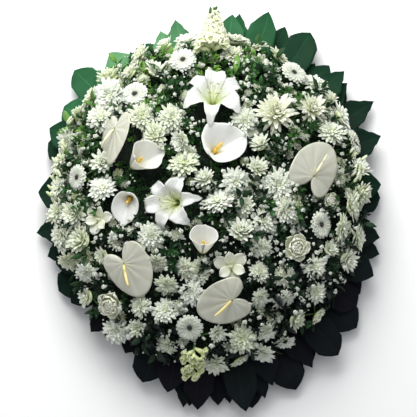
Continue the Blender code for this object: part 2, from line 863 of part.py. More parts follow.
class Room:
    """What already stands on the face: round lengths, and the discs that blooms cover."""

    def __init__(self):
        self.lengths = []
        self.discs = []

    def add_length(self, start, end, radius):
        """Takes the room of a stem or a branch."""
        self.lengths.append((start, end, radius))

    def add_disc(self, point, radius):
        """Takes the room of a bloom."""
        self.discs.append((point, radius))

    def free(self, start, end, radius):
        """Whether a length clears every stem and branch."""
        for low, high, thick in self.lengths:
            if nearest(start, end, low, high) < radius + thick:
                return False
        return True

    def open(self, point, radius):
        """Whether a spot of the face clears every bloom."""
        return all((point - other).length > radius + reach for other, reach in self.discs)


def face_spots(count, spread):
    """Evenly sown points of the face, in a sunflower's order."""
    for i in range(count):
        share = math.sqrt((i + 0.5) / count) * spread
        angle = i * GOLDEN_ANGLE
        yield on_face(share * FACE_HALF_WIDTH * math.cos(angle), share * FACE_HALF_HEIGHT * math.sin(angle))


def fill_room(sprays):
    """The room taken by the sprays and the large flowers."""
    room = Room()
    for blooms in sprays.values():
        for point, radius in blooms:
            room.add_disc(point, radius)
        knots = [point - face_normal(point) * BRANCH_DROP for point, _ in blooms]
        for start, end in zip(knots, knots[1:]):
            room.add_length(start, end, BRANCH_RADIUS)
        for point in spray_stems(blooms):
            room.add_length(*stem_ends(point), STEM_RADIUS)
    for place in LARGE_FLOWERS:
        top, foot = place_stem(place)
        room.add_length(top, foot, STEM_RADIUS)
        room.add_length(place_pose(place).translation, foot.lerp(top, 0.4), place.root)
        room.add_disc(centre_of(place), place.reach)
    return room


def sow_gypsophila(room, upper):
    """Spots between the blooms on one half of the face, joined under them. Returns (spots, links)."""
    spots, links = [], []
    for point in face_spots(1500, 0.93):
        if (point.y > -0.01) != upper or len(spots) == GYP_FLORETS:
            continue
        normal = face_normal(point)
        foot = point - normal * GYP_DROP
        if not room.open(point, GYP_FLORET_RADIUS + CLEARANCE):
            continue
        if not room.free(foot, point, GYP_STALK_RADIUS + 1.5 * CLEARANCE):
            continue
        if spots and min((point - other).length for other in spots) < GYP_SPACING:
            continue
        if spots:
            near = sorted(range(len(spots)), key=lambda k: (spots[k] - point).length)
            for k in near:
                other = spots[k] - face_normal(spots[k]) * GYP_DROP
                if (other - foot).length > GYP_LONGEST_LINK:
                    break
                if room.free(foot, other, GYP_BRANCH_RADIUS + 1.5 * CLEARANCE):
                    links.append((foot, other))
                    spots.append(point)
                    break
        else:
            spots.append(point)
    return spots, links


def gypsophila_shapes(spots, links):
    """Small florets on thin stalks, and the branches that join the stalks."""
    shapes = []
    for number, point in enumerate(spots):
        floret = loft(
            (
                ring(3, GYP_STALK_RADIUS, -GYP_DROP - 0.001),
                ring(3, GYP_STALK_RADIUS, -0.004),
                ring(4, GYP_FLORET_RADIUS, 0.0010),
                [Vector((0, 0, 0.0030))],
            )
        )
        shapes.append(moved(floret, pose(point)))
        if number % GYP_STEM_EVERY == 0:
            shapes.append(stem_shape(point, GYP_DROP - 0.004))
    shapes += [stalk(start, end, GYP_BRANCH_RADIUS) for start, end in links]
    return shapes


def standing_leaf(foot, tip, width):
    """A small leaf of the bed, pointed at both ends."""
    along = (tip - foot).normalized()
    side = along.cross(Vector((0.3, 0.2, 1))).normalized()
    up = side.cross(along)
    stations = (
        (foot, side, 0, up),
        (foot.lerp(tip, 0.60), side, width / 2, up),
        (tip, side, 0, up),
    )
    return blade(stations, SMALL_LEAF_THICK)


def bed_leaves(room, draw):
    """Leaves that stand out of the bed: tall ones in the gaps between blooms, low ones under them."""
    shapes = []
    taken = []
    for point in face_spots(900, 0.97):
        if len(taken) == GAP_LEAVES:
            break
        normal = face_normal(point)
        foot = point - normal * (BED_DROP + BED_LEAF_ROOT)
        tip = foot + normal * GAP_LEAF_LENGTH
        if taken and min((point - other).length for other in taken) < GAP_LEAF_SPACING:
            continue
        reach = GAP_LEAF_WIDTH / 2 + CLEARANCE
        if room.open(point, reach) and room.free(foot, tip, reach):
            taken.append(point)
            shapes.append(standing_leaf(foot, tip, GAP_LEAF_WIDTH))
            room.add_length(foot, tip, GAP_LEAF_WIDTH / 2)
    for point in face_spots(BED_LEAF_SPOTS, 0.93):
        normal = face_normal(point)
        angle = draw.uniform(0, 2 * math.pi)
        out = (normal + 1.1 * Vector((math.cos(angle), math.sin(angle), 0))).normalized()
        foot = point - normal * (BED_DROP + BED_LEAF_ROOT)
        tip = foot + out * BED_LEAF_LENGTH
        if room.free(foot, tip, BED_LEAF_WIDTH / 2 + CLEARANCE):
            shapes.append(standing_leaf(foot, tip, BED_LEAF_WIDTH))
            room.add_length(foot, tip, CLEARANCE)
    return shapes


def bed_core():
    """The rounded middle of the greenery, flat under and domed over."""

    def oval(share, drop_z):
        points = []
        for i in range(BED_SIDES):
            angle = 2 * math.pi * i / BED_SIDES
            x = share * (FACE_HALF_WIDTH - BED_DROP) * math.cos(angle)
            y = share * (FACE_HALF_HEIGHT - BED_DROP) * math.sin(angle)
            points.append(Vector((x, y, drop_z if drop_z else face_height(x, y, BED_DROP))))
        return points

    foot = ring(BED_SIDES, BED_FOOT_RADIUS, FOAM_TOP + GAP)
    levels = [oval(share, None) for share in (0.90, 0.70, 0.40)]
    top = [Vector((0, 0, face_height(0, 0, BED_DROP)))]
    return loft([foot, oval(0.985, BED_FLARE_HEIGHT)] + levels + [top])


def disc(name, radius, low, high, material, collection):
    """A plain round slab."""
    shape = bmesh.new()
    place = Matrix.Translation((0, 0, (low + high) / 2))
    bmesh.ops.create_cone(
        shape, cap_ends=True, segments=ROUND_SIDES, radius1=radius, radius2=radius,
        depth=high - low, matrix=place,
    )
    return node(name, [shape], material, collection)


def collar_leaf(bearing, reach, layer, draw):
    """One broad leaf of the collar, folded along its midrib, from the branch out to its tip."""
    bearing = math.radians(bearing)
    ahead = Vector((math.cos(bearing), math.sin(bearing), 0))
    side = Vector((-math.sin(bearing), math.cos(bearing), 0))
    start = FOAM_RADIUS + COLLAR_BRANCH_RADIUS
    length = reach - start
    width = LEAF_WIDTH * draw.uniform(*LEAF_SPREAD)
    rings = []
    for share, half in LEAF_OUTLINE:
        level = layer + LEAF_ARCH * math.sin(math.pi * share)
        if share == 0:
            level = COLLAR_BRANCH_HEIGHT + 0.45 * (layer - COLLAR_BRANCH_HEIGHT)
        middle = ahead * (start + length * share) + Vector((0, 0, level))
        spread = side * (half * width / 2)
        lifted = Vector((0, 0, LEAF_FOLD * half))
        thick = Vector((0, 0, LEAF_THICK / 2 if share else LEAF_THICK))
        rings.append([middle - spread + lifted, middle + thick, middle + spread + lifted, middle - thick])
    rings.append([ahead * reach + Vector((0, 0, layer))])
    return loft(rings)


def collar_branch(name, leaves, first, draw, collection):
    """A leafy branch bent round the foam, its leaves in three layers that pass over each other."""
    radius = FOAM_RADIUS + COLLAR_BRANCH_RADIUS + 3 * GAP
    low, high = leaves[0][0] - 1, leaves[-1][0] + 1
    steps = round((high - low) / 6)
    rings = []
    for k in range(steps + 1):
        angle = math.radians(low + (high - low) * k / steps)
        ahead = Vector((math.cos(angle), math.sin(angle), 0))
        up = Vector((0, 0, 1))
        middle = ahead * radius + up * COLLAR_BRANCH_HEIGHT
        across = [(math.cos(t), math.sin(t)) for t in (2 * math.pi * i / 6 for i in range(6))]
        rings.append([middle + (ahead * c + up * s) * COLLAR_BRANCH_RADIUS for c, s in across])
    shapes = [loft(rings)]
    for number, (bearing, reach) in enumerate(leaves):
        layer = COLLAR_LAYERS[(first + number) % len(COLLAR_LAYERS)]
        shapes.append(collar_leaf(bearing, reach, layer, draw))
    return node(name, shapes, LEAF_GREEN, collection)


def flower(place, suffix, shapes, material, collection, stemmed=True):
    """A large flower's node: its shapes at its place, on a stem where it has one."""
    matrix = place_pose(place)
    shapes = [moved(shape, matrix) for shape in shapes]
    if stemmed:
        shapes.append(stalk(*place_stem(place), STEM_RADIUS, STEM_SIDES))
    return node(place.name + suffix, shapes, material, collection)


def main():
    """Builds every sub-part of the wreath."""
    for old in list(bpy.data.objects):
        bpy.data.objects.remove(old, do_unlink=True)
    wreath = bpy.data.collections.new("funeral_wreath")
    bpy.context.scene.collection.children.link(wreath)
    disc("backing_board", BOARD_RADIUS, 0.0, BOARD_THICK, PLYWOOD, wreath)
    disc("foam_pad", FOAM_RADIUS, BOARD_THICK + GAP, FOAM_TOP, FOAM_GREEN, wreath)

    draw = random.Random(SEED)
    first = 0
    for name, leaves in COLLAR.items():
        collar_branch("leaf_branch_" + name, leaves, first, draw, wreath)
        first += len(leaves)

    draw = random.Random(SEED + 1)
    sprays = settle_sprays(draw)
    for name, blooms in sprays.items():
        node("chrysanthemum_spray_" + name, spray_shapes(blooms, draw), PETAL_WHITE, wreath)

    for place in GERBERAS:
        flower(place, "_rays", [gerbera_rays(place.size)], PETAL_WHITE, wreath)
        flower(place, "_eye", [gerbera_eye(place.size)], DARK_EYE, wreath, False)
    for place in CALLAS:
        flower(place, "_spathe", [nodded(calla_spathe(place.size), place.nod)], SPATHE_WHITE, wreath)
        flower(place, "_spadix", [nodded(calla_spadix(place.size), place.nod)], YELLOW, wreath, False)
    for place in ANTHURIUMS:
        flower(place, "_spathe", [anthurium_spathe(place.size)], SPATHE_WHITE, wreath)
        flower(place, "_spadix", [anthurium_spadix(place.size)], YELLOW, wreath, False)
    for place in LILIES:
        flower(place, "_tepals", [lily_tepals(place.size)], PETAL_WHITE, wreath)
        flower(place, "_stamens", lily_stamens(), STAMEN, wreath, False)
    for place in GLADIOLI:
        flower(place, "_flower", [gladiolus_shape(place.size)], CREAM, wreath)
    for place in DISBUDS:
        flower(place, "_bloom", [disbud_shape(place.size)], CREAM, wreath)
    for place in ROSES:
        flower(place, "_bloom", [rose_shape(place.size)], CREAM, wreath)
    for place in SNAPDRAGONS:
        flower(place, "_spike", snapdragon_shapes(place.size), PALE_GREEN, wreath)

    room = fill_room(sprays)
    holes = [hole_shape(*place_stem(place)) for place in LARGE_FLOWERS]
    for blooms in sprays.values():
        holes += [hole_shape(*stem_ends(point)) for point in spray_stems(blooms)]
    for name, upper in (("upper", True), ("lower", False)):
        spots, links = sow_gypsophila(room, upper)
        node("gypsophila_" + name, gypsophila_shapes(spots, links), PETAL_WHITE, wreath)
        for number, point in enumerate(spots):
            normal = face_normal(point)
            room.add_length(point - normal * GYP_DROP, point, GYP_FLORET_RADIUS)
            if number % GYP_STEM_EVERY == 0:
                holes.append(hole_shape(*stem_ends(point)))
                room.add_length(*stem_ends(point), STEM_RADIUS)
        for start, end in links:
            room.add_length(start, end, GYP_BRANCH_RADIUS)
    shapes = [bed_core()] + bed_leaves(room, random.Random(SEED + 2))
    bed = node("greenery_bed", shapes, BED_GREEN, wreath)
    combine(bed, holes, "DIFFERENCE")


main()
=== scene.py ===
"""A funeral wreath laid on its back: white blooms on a domed green bed, in a collar of broad leaves."""

import logging
from collections.abc import Callable, Iterable, Iterator
from dataclasses import dataclass, field
from enum import Enum
from math import cos, degrees, exp, hypot, pi, radians, sin, sqrt
from random import Random

import bmesh
import bpy
import numpy as np
from bpy.types import Material, Mesh
from mathutils import Matrix, Vector, noise


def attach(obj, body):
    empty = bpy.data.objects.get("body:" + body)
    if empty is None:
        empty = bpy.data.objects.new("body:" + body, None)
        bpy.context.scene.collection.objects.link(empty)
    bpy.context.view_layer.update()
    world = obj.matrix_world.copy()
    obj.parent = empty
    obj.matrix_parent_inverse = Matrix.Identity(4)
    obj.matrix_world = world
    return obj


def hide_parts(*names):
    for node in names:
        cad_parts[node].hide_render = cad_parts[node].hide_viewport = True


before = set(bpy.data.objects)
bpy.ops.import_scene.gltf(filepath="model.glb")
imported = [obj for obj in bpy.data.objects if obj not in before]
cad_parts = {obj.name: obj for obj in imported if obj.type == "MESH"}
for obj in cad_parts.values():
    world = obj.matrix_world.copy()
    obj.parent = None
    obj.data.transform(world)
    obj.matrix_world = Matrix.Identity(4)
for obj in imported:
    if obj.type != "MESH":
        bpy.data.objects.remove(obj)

BMesh = bmesh.types.BMesh
Socket = bpy.types.NodeSocket
Triple = tuple[float, float, float]
Colour = Triple
Pair = tuple[float, float]
Stops = tuple[Pair, ...]
Place = Callable[[float, float], Vector]

LOG = logging.getLogger("wreath")
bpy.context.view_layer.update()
BODY = "root"
SEED = 7
NEARLY_NOTHING = 1e-9
GOLDEN_ANGLE = pi * (3 - sqrt(5))
UV_NAME = "UVMap"
ALONG = "along"
TINT = "tint"
SOFT_LIGHT = {"subsurface_weight": 0.55, "subsurface_radius": (1.0, 1.0, 0.75), "subsurface_scale": 0.010}
WHITE = (1.0, 1.0, 1.0)
EVEN = (1.0, 1.0, 1.0)
HERE = Matrix.Identity(4)


class Slot(Enum):
    """The record's material slots, which each piece names when it is finished."""

    PETAL = "white_petal"
    SPATHE = "white_spathe"
    CREAM = "cream_petal"
    PALE_GREEN = "pale_green_petal"
    SPADIX = "yellow_spadix"
    EYE = "dark_eye"
    STAMEN = "stamen"
    COLLAR = "collar_leaf"
    BED = "bed_green"


# Materials


class Recipe:
    """A node tree that is built step by step for one material."""

    def __init__(self, name: str) -> None:
        """Starts a material of this name."""
        self.material = bpy.data.materials.new(name)
        self.material.use_nodes = True
        self.nodes = self.material.node_tree.nodes
        self.links = self.material.node_tree.links
        self.shader = self.nodes["Principled BSDF"]

    def add(self, kind: str, **values: object) -> bpy.types.Node:
        """Adds a node.

        Args:
            kind: The node's type name.
            values: Property or input names, i0 for the first input, with their values or sockets.

        Returns:
            The new node.
        """
        made = self.nodes.new(kind)
        for key, value in values.items():
            label = 0 if key == "i0" else key.replace("_", " ").title()
            if label == 0 or label in made.inputs:
                self.feed(made.inputs[label], value)
            else:
                setattr(made, key, value)
        return made

    def feed(self, socket: Socket, value: object) -> None:
        """Sets an input socket to a value, or links it where the value is a socket itself."""
        if isinstance(value, Socket):
            self.links.new(value, socket)
        else:
            socket.default_value = value

    def attribute(self, name: str) -> Socket:
        """A float attribute of the mesh."""
        return self.add("ShaderNodeAttribute", attribute_name=name).outputs["Fac"]

    def place(self, stretch: Triple = EVEN, uv: bool = False) -> Socket:
        """Coordinates for a pattern, stretched along each axis, from the object's space or the UV map."""
        source = self.add("ShaderNodeTexCoord").outputs["UV" if uv else "Object"]
        return self.add("ShaderNodeMapping", vector=source, scale=stretch).outputs["Vector"]

    def noise(self, vector: Socket, scale: float, detail: float = 3.0) -> Socket:
        """A soft noise value."""
        return self.add("ShaderNodeTexNoise", vector=vector, scale=scale, detail=detail).outputs["Fac"]

    def waves(self, veins: float, along: float, **values: float) -> Socket:
        """Bands that run along the UV map: how many veins lie across it, and their drift along it."""
        place = self.place((along, veins, 1.0), True)
        return self.add(
            "ShaderNodeTexWave", bands_direction="Y", vector=place, scale=0.32, **values
        ).outputs["Fac"]

    def ramp(self, value: Socket, *stops: tuple[float, Colour]) -> Socket:
        """The colour that a value picks from stops of a position and a colour."""
        made = self.add("ShaderNodeValToRGB", i0=value)
        band = made.color_ramp.elements
        band[0].position, band[1].position = stops[0][0], stops[-1][0]
        band[0].color, band[1].color = (*stops[0][1], 1), (*stops[-1][1], 1)
        for position, colour in stops[1:-1]:
            band.new(position).color = (*colour, 1)
        return made.outputs["Color"]

    def math(self, operation: str, first: object, second: object = 0.0) -> Socket:
        """The result of a sum on one or two values."""
        made = self.add("ShaderNodeMath", operation=operation)
        self.feed(made.inputs[0], first)
        self.feed(made.inputs[1], second)
        return made.outputs[0]

    def mix(self, factor: object, first: object, second: object, blend: str = "MIX") -> Socket:
        """A blend of two colours or colour sockets, with the share of the second."""
        made = self.add("ShaderNodeMix", data_type="RGBA", blend_type=blend)
        for index, value in ((0, factor), (6, first), (7, second)):
            self.feed(made.inputs[index], value)
        return made.outputs[2]

    def shade(self, base: Socket, over: Socket, factor: float = 1.0) -> Socket:
        """A colour darkened by another."""
        return self.mix(factor, base, over, "MULTIPLY")

    def patches(self, scale: float, low: Colour, high: Colour = WHITE) -> Socket:
        """Broad soft patches of two colours."""
        return self.ramp(self.noise(self.place(), scale), (0.3, low), (0.7, high))

    def bump(self, height: Socket, distance: float, strength: float = 0.5) -> None:
        """Raises the surface by a height pattern, up to a distance in metres."""
        made = self.add("ShaderNodeBump", height=height, distance=distance, strength=strength)
        self.links.new(made.outputs["Normal"], self.shader.inputs["Normal"])

    def surface(self, colour: object, roughness: float, **others: object) -> Material:
        """Sets the shader's base colour, roughness and further inputs, and hands over the material."""
        self.feed(self.shader.inputs["Base Color"], colour)
        self.feed(self.shader.inputs["Roughness"], roughness)
        for key, value in others.items():
            self.feed(self.shader.inputs[key.replace("_", " ").title().replace("Ior", "IOR")], value)
        return self.material


@dataclass(frozen=True)
class PetalFinish:
    """Thin petals: tinted at their root, finely lined, a little see-through.

    Attributes:
        name: The material's name.
        root: Colour at the petal's root.
        body: Colour along the petal.
        tip: Colour at the tip.
        roughness: Surface roughness.
        ages: Shade of a bloom, from a young green one to an open white one.
    """

    name: str
    root: Colour = (0.66, 0.76, 0.40)
    body: Colour = (0.83, 0.87, 0.74)
    tip: Colour = (0.87, 0.91, 0.82)
    roughness: float = 0.55
    ages: tuple[tuple[float, Colour], ...] = (
        (0.0, (0.62, 0.70, 0.42)), (0.4, (0.82, 0.85, 0.70)), (1.0, (0.98, 0.99, 0.97)),
    )

    def make(self) -> Material:
        """The petal material."""
        recipe = Recipe(self.name)
        base = recipe.ramp(recipe.attribute(ALONG), (0.0, self.root), (0.30, self.body), (1.0, self.tip))
        aged = recipe.shade(base, recipe.ramp(recipe.attribute(TINT), *self.ages))
        recipe.bump(recipe.noise(recipe.place(), 900.0), 0.0004, 0.4)
        colour = recipe.shade(aged, recipe.patches(60.0, (0.93, 0.92, 0.88)))
        return recipe.surface(colour, self.roughness, **SOFT_LIGHT)


@dataclass(frozen=True)
class SpatheFinish:
    """A waxy spathe or tepal with long veins that follow its surface.

    Attributes:
        name: The material's name.
        throat: Colour in the throat.
        body: Main colour.
        veins: How many veins run along it.
        relief: Height of the veins in metres.
        contrast: How strongly the veins are tinted.
        roughness: Surface roughness.
        reach: How far the throat's colour reaches, as a share of the length.
    """

    name: str
    throat: Colour
    body: Colour
    veins: float
    relief: float
    contrast: float
    roughness: float = 0.36
    reach: float = 0.30

    def make(self) -> Material:
        """The spathe material."""
        recipe = Recipe(self.name)
        stops = (0.0, self.throat), (self.reach, self.body), (1.0, self.body)
        base = recipe.ramp(recipe.attribute(ALONG), *stops)
        wave = recipe.waves(self.veins, 0.4, distortion=1.2, detail=1.0)
        lined = recipe.shade(base, recipe.ramp(wave, (0.0, (0.88, 0.88, 0.83)), (0.35, WHITE)), self.contrast)
        recipe.bump(wave, self.relief, 0.6)
        colour = recipe.shade(lined, recipe.patches(35.0, (0.92, 0.92, 0.89)))
        return recipe.surface(colour, self.roughness, coat_weight=0.08, **SOFT_LIGHT)


@dataclass(frozen=True)
class LeafFinish:
    """A leathery leaf with a pale midrib and close parallel veins.

    Attributes:
        name: The material's name.
        painted_light_stops: Colours from the darkest leaf to the brightest, with the tint that each stands
            for; the tint is painted light and shade, from a leaf in shade to a lit one.
        veins: How many veins lie across the leaf.
        gloss: Strength of its shine.
        roughness: Surface roughness.
        rib: Half the midrib's width, as a share of the leaf's.
    """

    name: str
    painted_light_stops: tuple[tuple[float, Colour], ...]
    veins: float
    gloss: float
    roughness: float = 0.5
    rib: float = 0.018

    def make(self) -> Material:
        """The leaf material."""
        recipe = Recipe(self.name)
        base = recipe.ramp(recipe.attribute(TINT), *self.painted_light_stops)
        wave = recipe.waves(self.veins, 0.15, distortion=0.6, detail=2.0)
        across = recipe.add("ShaderNodeSeparateXYZ", i0=recipe.place(uv=True)).outputs["Y"]
        aside = recipe.math("ABSOLUTE", recipe.math("SUBTRACT", across, 0.5))
        pale = recipe.shade(base, (2.2, 2.0, 1.8, 1))
        lined = recipe.mix(recipe.math("MULTIPLY", wave, 0.5), base, pale)
        rib = recipe.math("MULTIPLY", recipe.math("LESS_THAN", aside, self.rib), 0.9)
        recipe.bump(wave, 0.0006, 0.5)
        patches = recipe.patches(14.0, (0.70, 0.74, 0.70), (1.15, 1.12, 1.05))
        colour = recipe.shade(recipe.mix(rib, lined, pale), patches)
        return recipe.surface(colour, self.roughness, specular_ior_level=self.gloss)


@dataclass(frozen=True)
class GrainFinish:
    """A surface of two colours in a fine grain, for the eyes, the spadices, stems and foam.

    Attributes:
        name: The material's name.
        low: Colour of the hollows.
        high: Colour of the raised grains.
        scale: Grains in a metre.
        relief: Height of the grain in metres.
        roughness: Surface roughness.
    """

    name: str
    low: Colour
    high: Colour
    scale: float = 1400.0
    relief: float = 0.0006
    roughness: float = 0.7

    def make(self) -> Material:
        """The grained material."""
        recipe = Recipe(self.name)
        place = recipe.place()
        grain = recipe.add("ShaderNodeTexVoronoi", vector=place, scale=self.scale).outputs["Distance"]
        soft = recipe.math("MULTIPLY", recipe.noise(place, self.scale * 0.12, 4.0), 0.5)
        mixed = recipe.math("ADD", recipe.math("MULTIPLY", grain, 0.6), soft)
        colour = recipe.ramp(mixed, (0.25, self.high), (0.75, self.low))
        recipe.bump(recipe.math("SUBTRACT", 1.0, grain), self.relief, 0.7)
        return recipe.surface(colour, self.roughness)


def plywood() -> Material:
    """Raw plywood with a drawn-out grain."""
    recipe = Recipe("plywood_grain")
    grain = recipe.noise(recipe.place((1.0, 9.0, 9.0)), 7.0, 8.0)
    fibre = recipe.noise(recipe.place((3.0, 120.0, 60.0)), 5.0, 3.0)
    browns = (0.32, (0.30, 0.18, 0.09)), (0.52, (0.50, 0.34, 0.19)), (0.70, (0.60, 0.43, 0.26))
    streak = recipe.ramp(fibre, (0.35, (0.78, 0.76, 0.74)), (0.6, WHITE))
    recipe.bump(fibre, 0.0004, 0.5)
    return recipe.surface(recipe.shade(recipe.ramp(grain, *browns), streak), 0.72)


class Finishes:
    """Every material of the wreath, made once."""

    # Painted light and shade for the collar leaves, by their tint: near-black for leaves in shade at the
    # bottom, bright green for lit ones at the top.
    COLLAR_PAINTED_LIGHT = (
        (0.0, (0.005, 0.005, 0.010)), (0.30, (0.002, 0.014, 0.009)), (0.60, (0.005, 0.036, 0.016)),
        (0.85, (0.015, 0.085, 0.036)), (1.0, (0.090, 0.230, 0.120)),
    )
    # Painted light and shade for the bed's sprigs, by their tint: near-black for shaded ones, bright
    # yellow-green for lit ones.
    BED_PAINTED_LIGHT = (
        (0.0, (0.003, 0.007, 0.006)), (0.40, (0.008, 0.034, 0.012)), (0.75, (0.030, 0.105, 0.024)),
        (1.0, (0.150, 0.320, 0.050)),
    )

    def __init__(self) -> None:
        """Makes them all."""
        self.petal = PetalFinish("chrysanthemum_petal").make()
        self.ray = PetalFinish("gerbera_ray", (0.80, 0.82, 0.70), roughness=0.5).make()
        self.cream = PetalFinish(
            "cream_petal", (0.56, 0.64, 0.26), (0.84, 0.86, 0.66), (0.89, 0.90, 0.78)
        ).make()
        self.pale = PetalFinish(
            "snapdragon_floret", (0.40, 0.58, 0.14), (0.78, 0.84, 0.50), (0.88, 0.90, 0.70)
        ).make()
        self.calla = SpatheFinish(
            "calla_spathe", (0.82, 0.72, 0.24), (0.79, 0.80, 0.73), 10, 0.0001, 0.15
        ).make()
        self.anthurium = SpatheFinish(
            "anthurium_spathe", (0.64, 0.64, 0.44), (0.56, 0.56, 0.46), 12, 0.0014, 0.8, 0.33
        ).make()
        self.lily = SpatheFinish(
            "lily_tepal", (0.50, 0.62, 0.14), (0.77, 0.79, 0.72), 7, 0.0006, 0.35, reach=0.48
        ).make()
        self.spadix = GrainFinish("yellow_spadix", (0.72, 0.56, 0.16), (0.90, 0.82, 0.42)).make()
        self.pale_spadix = GrainFinish("pale_spadix", (0.70, 0.66, 0.42), (0.86, 0.83, 0.62)).make()
        self.golden_spadix = GrainFinish("golden_spadix", (0.66, 0.40, 0.04), (0.88, 0.66, 0.16)).make()
        self.eye = GrainFinish("gerbera_eye", (0.007, 0.006, 0.004), (0.045, 0.037, 0.024), 1500.0).make()
        self.stamen = GrainFinish("lily_anther", (0.30, 0.24, 0.06), (0.56, 0.48, 0.16), 2500.0).make()
        self.leaf = LeafFinish("collar_leaf", self.COLLAR_PAINTED_LIGHT, 26.0, 0.08).make()
        self.small_leaf = LeafFinish("small_leaf", self.BED_PAINTED_LIGHT, 5, 0.25).make()
        self.stem = GrainFinish("green_stem", (0.03, 0.09, 0.02), (0.12, 0.24, 0.06), 500.0).make()
        # The bed's core: near-black green, painted shade of the deep greenery under the sprigs.
        self.core_shade = GrainFinish(
            "deep_green_painted_shade", (0.001, 0.003, 0.002), (0.004, 0.016, 0.007), 160.0, 0.003, 1.0
        ).make()
        self.foam = GrainFinish(
            "floral_foam", (0.02, 0.08, 0.035), (0.07, 0.24, 0.11), 700.0, 0.001, 0.9
        ).make()
        self.wood = plywood()


# Where everything stands, by the same rules as the solids


@dataclass
class Face:
    """The flower face: an ellipsoid cap over the board.

    Attributes:
        half_width: Half its width.
        half_height: Half its height in the picture.
        rise: How far it rises over its foot.
        foot: Height of its foot over the ground.
        rim: Squared share of the half widths at which a point is held inside.
    """

    half_width: float = 0.430
    half_height: float = 0.465
    rise: float = 0.185
    foot: float = 0.078
    rim: float = 0.95

    def point(self, x: float, y: float) -> Vector:
        """The point of the face over a plan place, brought inside the rim."""
        spread = (x / self.half_width) ** 2 + (y / self.half_height) ** 2
        if spread > self.rim:
            x, y = x * sqrt(self.rim / spread), y * sqrt(self.rim / spread)
            spread = (x / self.half_width) ** 2 + (y / self.half_height) ** 2
        return Vector((x, y, self.foot + self.rise * sqrt(max(0.0, 1 - spread))))

    def normal(self, point: Vector) -> Vector:
        """The outward direction at a point of the face."""
        slopes = point.x / self.half_width**2, point.y / self.half_height**2
        return Vector((*slopes, (point.z - self.foot) / self.rise**2)).normalized()

    def pose(
        self, point: Vector, lift: float = 0, turn: float = 0, lean: float = 0, toward: float = 0
    ) -> Matrix:
        """The matrix that stands a shape on the face.

        Args:
            point: A point of the face.
            lift: Height over it.
            turn: Bearing of the shape's X, in degrees.
            lean: Degrees that the shape leans over.
            toward: Bearing it leans to, in degrees.

        Returns:
            The placing matrix.
        """
        normal = self.normal(point)
        up = normal.copy()
        if lean:
            way = Vector((cos(radians(toward)), sin(radians(toward)), 0))
            up.rotate(Matrix.Rotation(radians(lean), 3, up.cross(way).normalized()))
        ahead = Vector((cos(radians(turn)), sin(radians(turn)), 0))
        ahead = (ahead - up * ahead.dot(up)).normalized()
        turned = Matrix((ahead, up.cross(ahead), up)).transposed().to_4x4()
        return Matrix.Translation(point + normal * lift) @ turned


FACE = Face()

# How far round its middle a broad flower hides the bed, as a share of its size
HIDES = {"calla": 1.20, "anthurium": 0.84, "lily": 0.94}
# The least that any large flower hides, as a share of its clear room
OTHER_HIDES = 0.92
# How deep under the face the main stems end
STEM_DEPTH = 0.055


@dataclass
class Spot:
    """Where one large flower stands, and the room that it takes.

    Attributes:
        name: The flower's name, as in the record.
        x: Its place in plan, to the right.
        y: Its place in plan, towards the picture's top.
        size: Its radius, or the length of a spike.
        lift: Height of its middle over the face.
        turn: Bearing of its X in degrees.
        lean: How far it leans over, in degrees.
        toward: Bearing that it leans to.
        clear: Radius of the room that the spray blooms leave.
        shift: How far along its X the middle of this room lies.
        neck: Height of its stem's top over its middle.
        slant: How far its throat is set back from its face.
    """

    name: str
    x: float
    y: float
    size: float
    lift: float = 0.0
    turn: float = 0.0
    lean: float = 0.0
    toward: float = -90.0
    clear: float = 0.040
    shift: float = 0.0
    neck: float = -0.004
    slant: float = 0.0

    @property
    def pose(self) -> Matrix:
        """The flower's placing matrix. A slant sets its throat back from its face, against its X."""
        slanted = Matrix.Identity(4)
        slanted[0][2] = self.slant
        return FACE.pose(FACE.point(self.x, self.y), self.lift, self.turn, self.lean, self.toward) @ slanted

    @property
    def centre(self) -> Vector:
        """The middle of the flower's room."""
        return self.pose @ Vector((self.shift, 0, -self.lift))

    @property
    def hidden(self) -> float:
        """How far round its middle the flower hides the bed."""
        return max(OTHER_HIDES * self.clear, self.size * HIDES.get(self.name.split("_")[0], 0.0))

    @property
    def stem(self) -> tuple[Vector, Vector]:
        """The two ends of the flower's stem."""
        point = FACE.point(self.x, self.y)
        normal = FACE.normal(point)
        top = self.pose @ Vector((0, 0, self.neck))
        return top, top - normal * ((top - point).dot(normal) + STEM_DEPTH)


GERBERAS = (
    Spot("gerbera_1", -0.070, 0.375, 0.038, 0.008, lean=8),
    Spot("gerbera_2", -0.200, 0.275, 0.037, 0.008, lean=4),
    Spot("gerbera_3", 0.232, 0.345, 0.038, 0.010, lean=6),
    Spot("gerbera_4", -0.050, -0.366, 0.037, 0.012, lean=4),
    Spot("gerbera_5", 0.300, -0.090, 0.038, 0.012, lean=20, toward=0),
    Spot("gerbera_6", -0.352, 0.045, 0.036, 0.012, lean=18, toward=200),
    Spot("gerbera_7", 0.398, 0.160, 0.036, 0.012, lean=8, toward=0),
)
CALLAS = (
    Spot("calla_1", 0.030, 0.117, 0.060, 0.008, 35, 12, 35, 0.044, neck=-0.038, slant=0.45),
    Spot("calla_2", -0.180, 0.075, 0.052, 0.024, -15, 0, -90, 0.042, 0.018, -0.038),
    Spot("calla_3", -0.220, -0.035, 0.046, 0.006, -105, 18, -105, 0.034, neck=-0.038, slant=0.45),
    Spot("calla_4", -0.014, -0.156, 0.043, 0.020, 88, 0, -90, 0.034, 0.014, -0.038),
)
ANTHURIUMS = (
    Spot("anthurium_1", -0.242, 0.160, 0.094, 0.045, -98, 38, 175, 0.044, 0.036, 0.0),
    Spot("anthurium_2", -0.222, -0.198, 0.096, 0.026, -62, 6, -90, 0.034, 0.036, 0.0),
    Spot("anthurium_3", 0.278, 0.038, 0.098, 0.024, 62, 6, -90, 0.034, 0.036, 0.0),
    Spot("anthurium_4", 0.061, -0.296, 0.093, 0.026, -158, 6, -90, 0.034, 0.036, 0.0),
)
